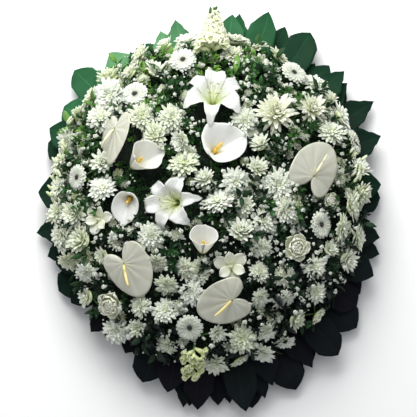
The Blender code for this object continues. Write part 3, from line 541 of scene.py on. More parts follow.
LILIES = (
    Spot("lily_1", 0.013, 0.258, 0.090, 0.014, 84, 8, 84, 0.059, neck=-0.028, slant=0.50),
    Spot("lily_2", -0.098, -0.040, 0.078, 0.014, 187, 6, 187, 0.042, neck=-0.028, slant=0.50),
)
GLADIOLI = (
    Spot("gladiolus_1", -0.298, -0.075, 0.040, 0.004, 10, clear=0.038, neck=-0.016),
    Spot("gladiolus_2", 0.060, -0.212, 0.046, 0.006, 40, clear=0.044, neck=-0.016),
)
DISBUDS = (
    Spot("disbud_1", 0.182, 0.215, 0.056, 0.006, lean=4, clear=0.056, neck=-0.010),
    Spot("disbud_2", 0.283, 0.240, 0.044, 0.002, lean=4, clear=0.044, neck=-0.008),
)
ROSES = (
    Spot("rose_1", -0.266, -0.301, 0.040, 0.004, clear=0.040, neck=-0.010),
    Spot("rose_2", 0.238, -0.155, 0.040, 0.004, clear=0.040, neck=-0.010),
    Spot("rose_3", 0.335, -0.020, 0.024, 0.002, clear=0.026, neck=-0.006),
)
SNAPDRAGONS = (
    Spot("snapdragon_1", 0.010, 0.395, 0.146, 0.008, 88, 14, clear=0.030, shift=0.050, neck=0.004),
    Spot("snapdragon_2", -0.038, -0.415, 0.080, 0.004, -95, clear=0.028, shift=0.028, neck=0.004),
)
LARGE = GERBERAS + CALLAS + ANTHURIUMS + LILIES + GLADIOLI + DISBUDS + ROSES + SNAPDRAGONS

SPRAYS = {
    "top_right": (
        (0.070, 0.420), (0.125, 0.445), (0.180, 0.430), (0.235, 0.420), (0.300, 0.330),
        (0.350, 0.290), (0.360, 0.230), (0.340, 0.175),
    ),
    "right": (
        (0.410, 0.105), (0.415, 0.040), (0.395, -0.020), (0.360, -0.070), (0.380, -0.110),
        (0.370, -0.160), (0.310, -0.145), (0.290, -0.200),
    ),
    "centre_right": (
        (0.110, 0.195), (0.140, 0.120), (0.135, 0.055), (0.185, 0.010), (0.200, -0.050),
        (0.150, -0.085), (0.095, -0.050), (0.095, -0.120), (0.135, -0.165),
    ),
    "upper_centre": (
        (-0.285, 0.235), (-0.175, 0.205), (-0.165, 0.150), (-0.100, 0.190), (-0.075, 0.135),
        (-0.060, 0.070), (-0.010, 0.020), (0.025, -0.025), (0.075, 0.015),
    ),
    "top_left": (
        (-0.060, 0.450), (-0.115, 0.430), (-0.190, 0.400), (-0.145, 0.345), (-0.220, 0.345),
        (-0.275, 0.320), (-0.325, 0.290), (-0.355, 0.235), (-0.250, 0.270),
    ),
    "left": (
        (-0.385, 0.160), (-0.400, 0.100), (-0.400, 0.035), (-0.290, 0.080), (-0.290, 0.010),
        (-0.400, -0.035), (-0.355, -0.055), (-0.395, -0.105), (-0.345, -0.125),
        (-0.365, -0.165), (-0.335, -0.210), (-0.295, -0.180),
    ),
    "lower_left": (
        (-0.320, -0.260), (-0.270, -0.350), (-0.205, -0.355), (-0.155, -0.325),
        (-0.100, -0.315), (-0.110, -0.265), (-0.050, -0.275), (-0.070, -0.225),
        (-0.130, -0.220), (-0.155, -0.130),
    ),
    "bottom": (
        (0.140, -0.225), (0.200, -0.245), (0.160, -0.280), (0.290, -0.270), (0.280, -0.320),
        (0.220, -0.350), (0.200, -0.305), (0.190, -0.390), (0.135, -0.390), (0.135, -0.430),
        (0.075, -0.400), (0.050, -0.440), (-0.005, -0.450), (0.015, -0.380), (-0.110, -0.410),
    ),
}

COLLAR = {
    "right": (
        (3, 0.480), (7, 0.485), (22, 0.520), (33, 0.555), (42, 0.525), (45, 0.540),
        (50, 0.530), (60, 0.575), (73, 0.580), (81, 0.565), (83, 0.555),
    ),
    "left": (
        (100, 0.540), (105, 0.525), (122, 0.520), (129, 0.495), (134, 0.545), (145, 0.495),
        (154, 0.495), (158, 0.485), (169, 0.450), (176, 0.475), (189, 0.485), (198, 0.470),
        (202, 0.455), (210, 0.480), (216, 0.470),
    ),
    "lower": (
        (228, 0.485), (241, 0.475), (250, 0.530), (258, 0.540), (263, 0.570), (267, 0.575),
        (280, 0.590), (282, 0.580), (286, 0.565), (289, 0.540), (295, 0.570), (302, 0.540),
        (310, 0.555), (320, 0.535), (325, 0.500), (336, 0.500), (344, 0.495), (349, 0.485),
    ),
}


@dataclass
class Bloom:
    """One spray chrysanthemum: its point on the face, its radius and how it stands."""

    point: Vector
    radius: float
    lean: float = 0.0
    toward: float = 0.0
    phase: float = 0.0


@dataclass
class Layout:
    """The places of the spray blooms, settled as the solids are.

    Attributes:
        radius: The smallest and the largest bloom's radius.
        rounds: Rounds of pushing.
        apart: Extra room between blooms of two sprays, and round the large flowers.
        most_lean: The largest lean in degrees.
        homing: Share of the way home that a bloom moves back in each round.
        sprays: The settled blooms of each spray.
    """

    radius: Pair = (0.032, 0.038)
    rounds: int = 160
    apart: float = 0.0025
    most_lean: float = 12.0
    homing: float = 0.02
    sprays: dict[str, list[Bloom]] = field(default_factory=dict)

    def settle(self) -> None:
        """Pushes the blooms apart until each has its room."""
        draw = Random(SEED + 1)
        owner, home, radius = [], [], []
        for number, path in enumerate(SPRAYS.values()):
            for x, y in path:
                owner.append(number)
                home.append((x, y))
                radius.append(draw.uniform(*self.radius))
        owner, radius, home = np.array(owner), np.array(radius), np.array(home)
        spots = home.copy()
        fixed = np.array([spot.centre for spot in LARGE])
        clear = np.array([spot.clear for spot in LARGE])
        same = owner[:, None] == owner[None, :]
        need = radius[:, None] + radius[None, :] + np.where(same, 0, self.apart)
        np.fill_diagonal(need, 0)
        for _ in range(self.rounds):
            points = np.array([FACE.point(x, y) for x, y in spots])
            spots = points[:, :2] + self.homing * (home - points[:, :2])
            spots += self.push(points, points, need, 0.5)
            spots += self.push(points, fixed, radius[:, None] + clear[None, :] + self.apart, 1.0)
        points = [FACE.point(x, y) for x, y in spots]
        for number, name in enumerate(SPRAYS):
            blooms = [Bloom(points[i], float(radius[i])) for i in np.flatnonzero(owner == number)]
            self.sprays[name] = blooms
        for blooms in self.sprays.values():
            for bloom in blooms:
                bloom.lean, bloom.toward = draw.uniform(0, self.most_lean), draw.uniform(0, 360)
                bloom.phase = draw.uniform(0, pi)

    @staticmethod
    def push(points: np.ndarray, others: np.ndarray, need: np.ndarray, share: float) -> np.ndarray:
        """Plan moves that part points from others which are nearer than they need.

        Args:
            points: The points that move.
            others: The points that they keep clear of.
            need: The distance that each pair needs.
            share: How much of the shortfall a point makes up.

        Returns:
            A move in plan for each point.
        """
        away = points[:, None, :] - others[None, :, :]
        distance = np.linalg.norm(away, axis=2)
        short = np.clip(need - distance, 0, None) * (distance > NEARLY_NOTHING)
        ways = away[:, :, :2] / np.maximum(distance, NEARLY_NOTHING)[:, :, None]
        return (ways * short[:, :, None] * share).sum(axis=1)

    def all(self) -> list[Bloom]:
        """Every spray bloom of the wreath."""
        return [bloom for blooms in self.sprays.values() for bloom in blooms]

    def nearest(self, point: Vector) -> str:
        """The spray whose bloom is nearest to a point."""

        def gap(name: str) -> float:
            """Distance from the spray's nearest bloom."""
            return min((bloom.point - point).length for bloom in self.sprays[name])

        return min(self.sprays, key=gap)

    @staticmethod
    def away(point: Vector) -> float:
        """Distance of a point from the nearest large flower, as a share of what that flower hides."""
        return min((spot.centre - point).length / spot.hidden for spot in LARGE)

    def covered(self, point: Vector, slack: float = 0.0) -> bool:
        """Whether a bloom stands over a point of the face.

        Args:
            point: The point.
            slack: Room to keep round each bloom.

        Returns:
            True where a bloom covers it.
        """
        rooms = [(bloom.point, bloom.radius) for bloom in self.all()]
        rooms += [(spot.centre, spot.clear) for spot in LARGE]
        return any((centre - point).length < radius + slack for centre, radius in rooms)


def face_spots(count: int, spread: float) -> Iterator[Vector]:
    """Evenly sown points of the face, in a sunflower's order.

    Args:
        count: How many points.
        spread: Share of the face that they reach.

    Yields:
        Each point.
    """
    for i in range(count):
        share = sqrt((i + 0.5) / count) * spread
        angle = i * GOLDEN_ANGLE
        x, y = FACE.half_width * cos(angle), FACE.half_height * sin(angle)
        yield FACE.point(share * x, share * y)


# Making shapes


def pitch(degree: float) -> Matrix:
    """A turn that raises +X by some degrees."""
    return Matrix.Rotation(-radians(degree), 4, "Y")


def yaw(angle: float) -> Matrix:
    """A turn about Z, in radians."""
    return Matrix.Rotation(angle, 4, "Z")


def roll(angle: float) -> Matrix:
    """A turn about X, in radians."""
    return Matrix.Rotation(angle, 4, "X")


def move(x: float, y: float, z: float) -> Matrix:
    """A shift."""
    return Matrix.Translation((x, y, z))


def bearing_way(angle: float) -> Vector:
    """The flat direction at an angle in radians."""
    return Vector((cos(angle), sin(angle), 0))


def blend(stops: Stops, at: float) -> float:
    """A smooth value through (position, value) stops."""
    for (low, first), (high, second) in zip(stops, stops[1:]):
        if at <= high:
            share = (at - low) / (high - low)
            share = share * share * (3 - 2 * share)
            return first + (second - first) * share
    return stops[-1][1]


def bend(shape: BMesh, place: Callable[[Vector], Vector]) -> BMesh:
    """Moves every vertex of a shape by a rule."""
    for vert in shape.verts:
        vert.co = place(vert.co)
    return shape


def keep(shape: BMesh, name: str) -> Mesh:
    """Turns a shape into a template mesh, shaded smooth.

    Args:
        shape: The shape, which is freed.
        name: The mesh's name.

    Returns:
        The template.
    """
    for face in shape.faces:
        face.smooth = True
    mesh = bpy.data.meshes.new(name)
    shape.to_mesh(mesh)
    shape.free()
    return mesh


def mark(shape: BMesh, rule: Callable[[Vector], float]) -> None:
    """Writes how far along its petal each vertex lies.

    Args:
        shape: The shape.
        rule: Gives the value of a vertex place.
    """
    layer = shape.verts.layers.float.get(ALONG) or shape.verts.layers.float.new(ALONG)
    for vert in shape.verts:
        vert[layer] = rule(vert.co)


def sheet(along: int, across: int, place: Place, thick: float) -> BMesh:
    """A thin petal or leaf: a grid that is bent to its form and given a thickness.

    Args:
        along: Cells along its length.
        across: Cells across its width.
        place: Gives the point for (share along, side from -1 to 1).
        thick: Thickness in metres.

    Returns:
        The shape.
    """
    shape = bmesh.new()
    shape.loops.layers.uv.new(UV_NAME)
    bmesh.ops.create_grid(shape, x_segments=along, y_segments=across, size=0.5, calc_uvs=True)
    mark(shape, lambda co: co.x + 0.5)
    bend(shape, lambda co: place(co.x + 0.5, co.y * 2))
    bmesh.ops.remove_doubles(shape, verts=shape.verts, dist=0.00005)
    bmesh.ops.recalc_face_normals(shape, faces=shape.faces)
    if sum(face.normal.z * face.calc_area() for face in shape.faces) < 0:
        bmesh.ops.reverse_faces(shape, faces=shape.faces)
    bmesh.ops.solidify(shape, geom=shape.faces[:], thickness=thick)
    return shape


def quill(
    length: float, width: float, thick: float, rise: float, sides: int = 6, rings: int = 4
) -> BMesh:
    """A narrow petal with a pointed tip, along +X.

    Args:
        length: Its length.
        width: Its greatest width.
        thick: Its thickness.
        rise: How far its tip rises over a straight line.
        sides: Faces round it.
        rings: Rows of faces along it.

    Returns:
        The shape.
    """
    shape = bmesh.new()
    turned = Matrix.Rotation(pi / 2, 4, "Y")
    bmesh.ops.create_uvsphere(shape, u_segments=sides, v_segments=rings, radius=0.5, matrix=turned)
    mark(shape, lambda co: co.x + 0.5)

    def place(co: Vector) -> Vector:
        """Where a vertex of the ball lies in the petal."""
        share = co.x + 0.5
        swell = 0.92 + 0.30 * share - 0.52 * share * share
        cup = 0.9 * co.y * co.y * width
        return Vector((length * share, co.y * width * swell, co.z * thick + rise * share * share + cup))

    return bend(shape, place)


def rod(points: Iterable[Vector], radii: Iterable[float], sides: int = 6) -> BMesh:
    """A round rod that follows points: a disc that is extruded from each point to the next.

    Args:
        points: The points of its middle line.
        radii: The radius at each point.
        sides: Sides of its section.

    Returns:
        The closed shape.
    """
    points, radii = list(points), list(radii)
    shape = bmesh.new()

    def frame_at(k: int) -> Matrix:
        """The placing matrix of the section at one point."""
        along = points[min(k + 1, len(points) - 1)] - points[max(k - 1, 0)]
        return Matrix.Translation(points[k]) @ along.to_track_quat("Z", "Y").to_matrix().to_4x4()

    bmesh.ops.create_circle(shape, cap_ends=True, segments=sides, radius=radii[0], matrix=frame_at(0))
    end = shape.faces[:]
    for k in range(1, len(points)):
        grown = bmesh.ops.extrude_face_region(shape, geom=end, use_keep_orig=k == 1)
        end = [part for part in grown["geom"] if isinstance(part, bmesh.types.BMFace)]
        verts = end[0].verts[:]
        scale = radii[k] / radii[k - 1]
        step = frame_at(k) @ Matrix.Scale(scale, 4) @ frame_at(k - 1).inverted()
        bmesh.ops.transform(shape, matrix=step, verts=verts)
    bmesh.ops.recalc_face_normals(shape, faces=shape.faces)
    mark(shape, lambda co: 0.5)
    return shape


class Piece:
    """One visible piece: templates are stamped into it, and it becomes an object of the wreath."""

    def __init__(self, name: str) -> None:
        """Starts an empty piece.

        Args:
            name: The object's name.
        """
        self.name = name
        self.shape = bmesh.new()
        self.shape.loops.layers.uv.new(UV_NAME)
        self.shape.verts.layers.float.new(ALONG)
        self.shape.verts.layers.float.new(TINT)

    def stamp(self, template: Mesh, matrix: Matrix, tint: float = 1.0, slot: int = 0) -> None:
        """Adds a placed copy of a template.

        Args:
            template: The template.
            matrix: Where it goes.
            tint: Its shade, from 0 to 1: its own tone for the flowers, and painted light and shade, with some
                random tone, for the leaves.
            slot: The material slot of its faces.
        """
        copy = template.copy()
        copy.transform(matrix)
        layer = copy.attributes.get(TINT) or copy.attributes.new(TINT, "FLOAT", "POINT")
        layer.data.foreach_set("value", [tint] * len(copy.vertices))
        copy.polygons.foreach_set("material_index", [slot] * len(copy.polygons))
        self.shape.from_mesh(copy)
        bpy.data.meshes.remove(copy)

    def add_rod(
        self, points: Iterable[Vector], radii: Iterable[float], sides: int = 6,
        tint: float = 0.5, slot: int = 1, matrix: Matrix = HERE,
    ) -> None:
        """Adds a round rod.

        Args:
            points: The points of its middle line.
            radii: The radius at each point.
            sides: Sides of its section.
            tint: Its own shade, from 0 to 1.
            slot: The material slot of its faces.
            matrix: Where it goes.
        """
        self.stamp(keep(rod(points, radii, sides), "rod"), matrix, tint, slot)

    def finish(self, finishes: Iterable[Material], slot: Slot, *nodes: str) -> None:
        """Makes the object, attaches it to the body, and hides the solids that it replaces.

        Args:
            finishes: Its materials.
            slot: The record's slot; not used.
            nodes: The solids that it replaces.
        """
        mesh = bpy.data.meshes.new(self.name)
        self.shape.to_mesh(mesh)
        self.shape.free()
        made = bpy.data.objects.new(self.name, mesh)
        bpy.context.scene.collection.objects.link(made)
        for finish in finishes:
            mesh.materials.append(finish)
        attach(made, BODY)
        if nodes:
            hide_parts(*nodes)
        LOG.info("%s: %d faces", self.name, len(mesh.polygons))


# Flowers


@dataclass
class Rosette:
    """Rings of narrow petals round a button, as in a chrysanthemum.

    Attributes:
        rows: For each ring: petals, length, width, root reach, root height, tilt in degrees, rise of the tip.
        button: Radius of the middle, as a share of the bloom's radius.
        thick: Thickness of a petal.
        sway: How far a petal strays from its place in the ring.
        grown: The shortest and the longest petal, as a share of the usual one.
        nod: How far a petal's tilt strays, in degrees.
        twist: How far a petal turns about itself, in radians.
    """

    rows: tuple[tuple[int, float, float, float, float, float, float], ...]
    button: float
    thick: float = 0.05
    sway: float = 0.30
    grown: Pair = (0.82, 1.10)
    nod: float = 8.0
    twist: float = 0.35

    def build(self, name: str, draw: Random) -> Mesh:
        """The bloom for a radius of one metre.

        Args:
            name: The template's name.
            draw: The draw of its irregularities.

        Returns:
            The template.
        """
        piece = Piece(name)
        for number, (count, length, width, root, height, tilt, rise) in enumerate(self.rows):
            petal = keep(quill(length, width, self.thick, rise), "petal")
            for i in range(count):
                turn = 2 * pi * (i + 0.5 * (number % 2) + draw.uniform(-self.sway, self.sway)) / count
                grown = draw.uniform(*self.grown)
                tilted = pitch(tilt + draw.uniform(-self.nod, self.nod))
                twisted = roll(draw.uniform(-self.twist, self.twist)) @ Matrix.Diagonal((grown, 1, 1, 1))
                piece.stamp(petal, yaw(turn) @ move(root, 0, height) @ tilted @ twisted)
            bpy.data.meshes.remove(petal)
        middle = bmesh.new()
        bmesh.ops.create_icosphere(middle, subdivisions=2, radius=1.0)
        mark(middle, lambda co: 0.1)
        middle = keep(middle, "button")
        piece.stamp(middle, move(0, 0, self.rows[-1][4]) @ Matrix.Scale(self.button, 4))
        piece.stamp(middle, move(0, 0, -0.06) @ Matrix.Diagonal((0.55, 0.55, 0.14, 1)), 0.6)
        bpy.data.meshes.remove(middle)
        return keep(piece.shape, name)


MUM = Rosette(
    (
        (19, 1.06, 0.38, 0.08, -0.03, 3, 0.04),
        (17, 0.92, 0.38, 0.08, 0.02, 11, 0.05),
        (14, 0.75, 0.34, 0.07, 0.05, 21, 0.06),
        (10, 0.54, 0.28, 0.07, 0.08, 34, 0.07),
        (7, 0.34, 0.19, 0.07, 0.10, 50, 0.06),
    ),
    0.15,
)
HALF_OPEN_MUM = Rosette(
    (
        (13, 0.90, 0.34, 0.10, -0.05, 18, 0.12),
        (12, 0.80, 0.32, 0.08, 0.00, 36, 0.14),
        (10, 0.66, 0.27, 0.06, 0.06, 54, 0.12),
        (7, 0.50, 0.20, 0.04, 0.10, 70, 0.08),
    ),
    0.09,
)
DISBUD = Rosette(
    (
        (15, 1.02, 0.26, 0.12, -0.06, 2, 0.10),
        (14, 0.96, 0.28, 0.12, 0.02, 18, 0.12),
        (13, 0.84, 0.28, 0.10, 0.08, 34, 0.14),
        (12, 0.68, 0.25, 0.08, 0.13, 46, 0.15),
        (9, 0.54, 0.22, 0.06, 0.16, 62, 0.18),
        (6, 0.42, 0.18, 0.04, 0.18, 76, 0.20),
    ),
    0.10,
)


@dataclass
class SprayChrysanthemums:
    """Eight sprays of small white chrysanthemums, each on its branch.

    Attributes:
        layout: The settled blooms.
        finishes: The materials.
        spread: The smallest and the largest bloom, as a share of its room.
        lean: The most that a bloom leans further, in degrees.
        open_share: Share of blooms that are fully open.
        side_blooms: Side blooms tried beside each bloom.
        side_size: Their size as a share of the bloom's.
        side_limit: Nearest that one stands to a large flower, as a share of what that hides.
        side_bearing: Where the bed is sparse, side blooms stand up to this bearing only.
        buds: Buds in each row.
        bud_paths: The two ends of each row of buds, in plan.
        sparse_below: Under this height of the picture the blooms are smaller and fewer.
        sparse_size: Size of a bloom there.
        sparse_share: Share of the fillers there.
        fillers: Places tried for filler blooms.
        filler_share: Share of the places that are used.
        filler_size: The smallest and the largest filler.
        filler_limit: Nearest that one stands to a large flower.
        low_limit: Up to here from a large flower the fillers stand lower.
        lowered: How much lower they stand there.
        branch_drop: Depth of the branch under its blooms.
        branch_radius: Radius of the branch.
        stem_radius: Radius of a main stem.
        stem_every: One main stem for so many blooms.
        stalk_depth: How deep the stalks of buds and side blooms reach.
    """

    layout: Layout
    finishes: Finishes
    spread: Pair = (0.98, 1.30)
    lean: float = 34.0
    open_share: float = 0.8
    side_blooms: int = 2
    side_size: Pair = (0.60, 0.95)
    side_limit: float = 1.1
    side_bearing: float = 1.3
    buds: int = 44
    bud_paths: dict[str, tuple[Vector, Vector]] = field(
        default_factory=lambda: {
            "right": (Vector((0.396, 0.190)), Vector((0.408, -0.030))),
            "left": (Vector((-0.400, 0.150)), Vector((-0.410, -0.020))),
        }
    )
    sparse_below: float = -0.13
    sparse_size: float = 0.82
    sparse_share: float = 0.1
    fillers: int = 600
    filler_share: float = 0.46
    filler_size: Pair = (0.013, 0.021)
    filler_limit: float = 0.88
    low_limit: float = 1.12
    lowered: float = 0.010
    branch_drop: float = 0.0055
    branch_radius: float = 0.0018
    stem_radius: float = 0.0034
    stem_every: int = 7
    stalk_depth: float = 0.030

    def build(self) -> None:
        """Makes one piece for each spray."""
        draw = Random(SEED + 10)
        open_kinds = [MUM.build(f"mum_{k}", draw) for k in range(4)]
        half_kinds = [HALF_OPEN_MUM.build(f"half_open_mum_{k}", draw) for k in range(2)]
        for name, blooms in self.layout.sprays.items():
            piece = Piece("chrysanthemum_spray_" + name + "_blooms")
            for bloom in blooms:
                lean = bloom.lean + draw.uniform(0, self.lean)
                matrix = FACE.pose(bloom.point, 0.003, degrees(bloom.phase), lean, bloom.toward)
                grown = 1.0 if bloom.point.y > self.sparse_below else self.sparse_size
                scale = Matrix.Scale(bloom.radius * draw.uniform(*self.spread) * grown, 4)
                kinds = open_kinds if draw.random() < self.open_share else half_kinds
                piece.stamp(draw.choice(kinds), matrix @ scale, draw.uniform(0.28, 1.0))
                self.add_side_blooms(piece, bloom, half_kinds + open_kinds, draw)
            self.add_fillers(piece, name, half_kinds + open_kinds[:2], draw)
            self.add_branch(piece, blooms)
            if name in self.bud_paths:
                self.add_buds(piece, *self.bud_paths[name], draw)
            finishes = self.finishes.petal, self.finishes.stem
            piece.finish(finishes, Slot.PETAL, "chrysanthemum_spray_" + name)

    def add_buds(self, piece: Piece, start: Vector, end: Vector, draw: Random) -> None:
        """Adds a row of narrow buds near the rim.

        Args:
            piece: The spray's piece.
            start: Where the row starts, in plan.
            end: Where it ends.
            draw: The draw of their places and turns.
        """
        bud = keep(quill(0.022, 0.0090, 0.0080, 0.003), "bud")
        for k in range(self.buds):
            spot = start.lerp(end, k / (self.buds - 1))
            point = FACE.point(spot.x + draw.uniform(-0.016, 0.010), spot.y)
            stand = FACE.pose(point, draw.uniform(0.002, 0.014), draw.uniform(50, 130))
            matrix = stand @ pitch(draw.uniform(5, 50)) @ Matrix.Scale(draw.uniform(0.7, 1.25), 4)
            piece.stamp(bud, matrix, draw.uniform(0.1, 0.8))
            foot = point - FACE.normal(point) * self.stalk_depth
            piece.add_rod((matrix.translation, foot), (0.0010, 0.0012), 5)

    def add_fillers(self, piece: Piece, name: str, kinds: list[Mesh], draw: Random) -> None:
        """Adds small cream-green blooms in the gaps beside one spray.

        Args:
            piece: The spray's piece.
            name: The spray's name.
            kinds: The templates.
            draw: The draw of their sizes and turns.
        """
        for point in face_spots(self.fillers, 0.97):
            sparse = 1.0 if point.y > self.sparse_below else self.sparse_share
            share = sparse * self.filler_share
            if self.layout.nearest(point) != name or draw.random() > share:
                continue
            away = self.layout.away(point)
            if away < self.filler_limit or self.layout.covered(point, 0.002):
                continue
            normal = FACE.normal(point)
            size = draw.uniform(*self.filler_size)
            lower = draw.uniform(0.002, 0.014) + (self.lowered if away < self.low_limit else 0.0)
            turn, lean, toward = draw.uniform(0, 360), draw.uniform(0, 40), draw.uniform(0, 360)
            matrix = FACE.pose(point, -lower, turn, lean, toward)
            piece.stamp(draw.choice(kinds), matrix @ Matrix.Scale(size, 4), draw.uniform(0.0, 0.55))
            start, end = point - normal * (lower + 0.003), point - normal * 0.040
            piece.add_rod((start, end), (0.0011, 0.0014), 5)

    def add_side_blooms(
        self, piece: Piece, bloom: Bloom, kinds: list[Mesh], draw: Random
    ) -> None:
        """Adds smaller blooms that stand lower, beside one bloom, where no large flower is.

        Args:
            piece: The spray's piece.
            bloom: The bloom that they stand beside.
            kinds: The templates.
            draw: The draw of their places.
        """
        for _ in range(self.side_blooms):
            bearing = draw.uniform(0, 2 * pi)
            away = bloom.radius * draw.uniform(1.0, 1.5) * bearing_way(bearing)
            point = FACE.point(bloom.point.x + away.x, bloom.point.y + away.y)
            size = bloom.radius * draw.uniform(*self.side_size)
            lean, turn = draw.uniform(10, 40), draw.uniform(0, 360)
            if bloom.point.y < self.sparse_below and bearing > self.side_bearing:
                continue
            if self.layout.away(point) < self.side_limit:
                continue
            if any((spot.centre - point).length < spot.clear + 0.55 * size for spot in LARGE):
                continue
            blooms = self.layout.all()
            if sum((other.point - point).length < 0.62 * (other.radius + size) for other in blooms) > 1:
                continue
            lower = draw.uniform(0.009, 0.016)
            matrix = FACE.pose(point, -lower, turn, lean, degrees(bearing)) @ Matrix.Scale(size, 4)
            piece.stamp(draw.choice(kinds), matrix, draw.uniform(0.2, 0.9))
            start = point - FACE.normal(point) * (lower + 0.004)
            end = bloom.point - FACE.normal(bloom.point) * self.stalk_depth
            piece.add_rod((start, end), (0.0012, 0.0014), 5)

    def add_branch(self, piece: Piece, blooms: list[Bloom]) -> None:
        """Adds the branch that runs under the blooms, and its main stems.

        Args:
            piece: The spray's piece.
            blooms: Its blooms.
        """
        knots = [bloom.point - FACE.normal(bloom.point) * self.branch_drop for bloom in blooms]
        for start, end in zip(knots, knots[1:]):
            middle = (start + end) / 2 - FACE.normal(start) * 0.003
            radii = (self.branch_radius * 1.1, self.branch_radius, self.branch_radius * 1.1)
            piece.add_rod((start, middle, end), radii)
        for i in range(2, len(blooms), self.stem_every):
            normal = FACE.normal(blooms[i].point)
            ends = [blooms[i].point - normal * depth for depth in (0.006, STEM_DEPTH)]
            piece.add_rod(ends, (self.stem_radius,) * 2, 8)


@dataclass
class Gerberas:
    """Small gerberas: flat rays round a dark tufted eye."""

    finishes: Finishes
    rays: int = 19
    tufts: int = 34

    def ray(self, length: float, width: float, droop: float) -> Mesh:
        """One ray petal with two grooves and a rounded tip.

        Args:
            length: Its length.
            width: Its width.
            droop: How far its tip falls.

        Returns:
            The template, along +X.
        """
        outline = ((0.0, 0.42), (0.35, 0.85), (0.72, 1.0), (0.92, 0.84), (1.0, 0.42))

        def place(share: float, side: float) -> Vector:
            """A point of the ray."""
            half = width / 2 * blend(outline, share)
            groove = -0.05 * width * cos(3 * pi * side) + 0.10 * width * side * side
            return Vector((length * share, half * side, groove - droop * share * share))

        return keep(sheet(5, 4, place, 0.0008), "ray")

    def build(self) -> None:
        """Makes the rays and the eye of each gerbera."""
        draw = Random(SEED + 11)
        for spot in GERBERAS:
            radius = spot.size
            piece = Piece(spot.name + "_petals")
            for row, (share, lift, tilt) in enumerate(((1.0, 0.0, 4), (0.84, 0.0016, 11))):
                ray = self.ray(radius * share * 0.86, radius * 0.32, 0.05 * radius)
                for i in range(self.rays):
                    turn = 2 * pi * (i + 0.5 * row) / self.rays + draw.uniform(-0.05, 0.05)
                    placed = yaw(turn) @ move(0.15 * radius, 0, lift + 0.0006)
                    matrix = placed @ pitch(tilt + draw.uniform(-4, 4))
                    piece.stamp(ray, spot.pose @ matrix, draw.uniform(0.7, 1.0))
            piece.add_rod(spot.stem, (0.0034, 0.0034), 8)
            cup = bmesh.new()
            low, high, depth = 0.10 * radius, 0.42 * radius, 0.30 * radius
            bmesh.ops.create_cone(cup, cap_ends=True, segments=16, radius1=low, radius2=high, depth=depth)
            mark(cup, lambda co: 0.3)
            piece.stamp(keep(cup, "cup"), spot.pose @ move(0, 0, -0.13 * radius), 0.5, 1)
            piece.finish((self.finishes.ray, self.finishes.stem), Slot.PETAL, spot.name + "_rays")
            self.eye(spot, draw)

    def eye(self, spot: Spot, draw: Random) -> None:
        """Makes the dark eye of one gerbera.

        Args:
            spot: Where it stands.
            draw: The draw of its tufts.
        """
        radius = spot.size
        piece = Piece(spot.name + "_disc")
        dome = bmesh.new()
        bmesh.ops.create_uvsphere(dome, u_segments=18, v_segments=8, radius=1.0)
        mark(dome, lambda co: 0.5)
        flat = Matrix.Diagonal((0.17 * radius, 0.17 * radius, 0.0034, 1))
        low = move(0, 0, 0.05 * radius + 0.0005) @ flat
        piece.stamp(keep(dome, "dome"), spot.pose @ low)
        tuft = keep(quill(0.10 * radius, 0.0012, 0.0009, 0.0004, 5, 3), "tuft")
        for i in range(self.tufts):
            placed = move(0.16 * radius * draw.uniform(0.75, 1.0), 0, 0.05 * radius + 0.0010)
            matrix = yaw(i * GOLDEN_ANGLE) @ placed @ pitch(draw.uniform(30, 75))
            piece.stamp(tuft, spot.pose @ matrix)
        piece.finish((self.finishes.eye,), Slot.EYE, spot.name + "_eye")


@dataclass(frozen=True)
class Aim:
    """How the funnel of one calla stands on its throat.

    Attributes:
        rim: Reach of the rim as a share of the size, by degrees from the tip.
        aside: Turn from the flower's own direction, in degrees.
        tilt: How far the funnel lies over, in degrees.
        back: How far the throat stands back.
        raised: How far the throat is raised.
        depth: Length of the funnel as a share of the usual one.
        flare: How late the funnel widens: under 1 it bulges near its throat.
    """

    rim: Stops
    aside: float = 0.0
    tilt: float = 0.0
    back: float = 0.0
    raised: float = 0.0
    depth: float = 1.0
    flare: float = 1.25


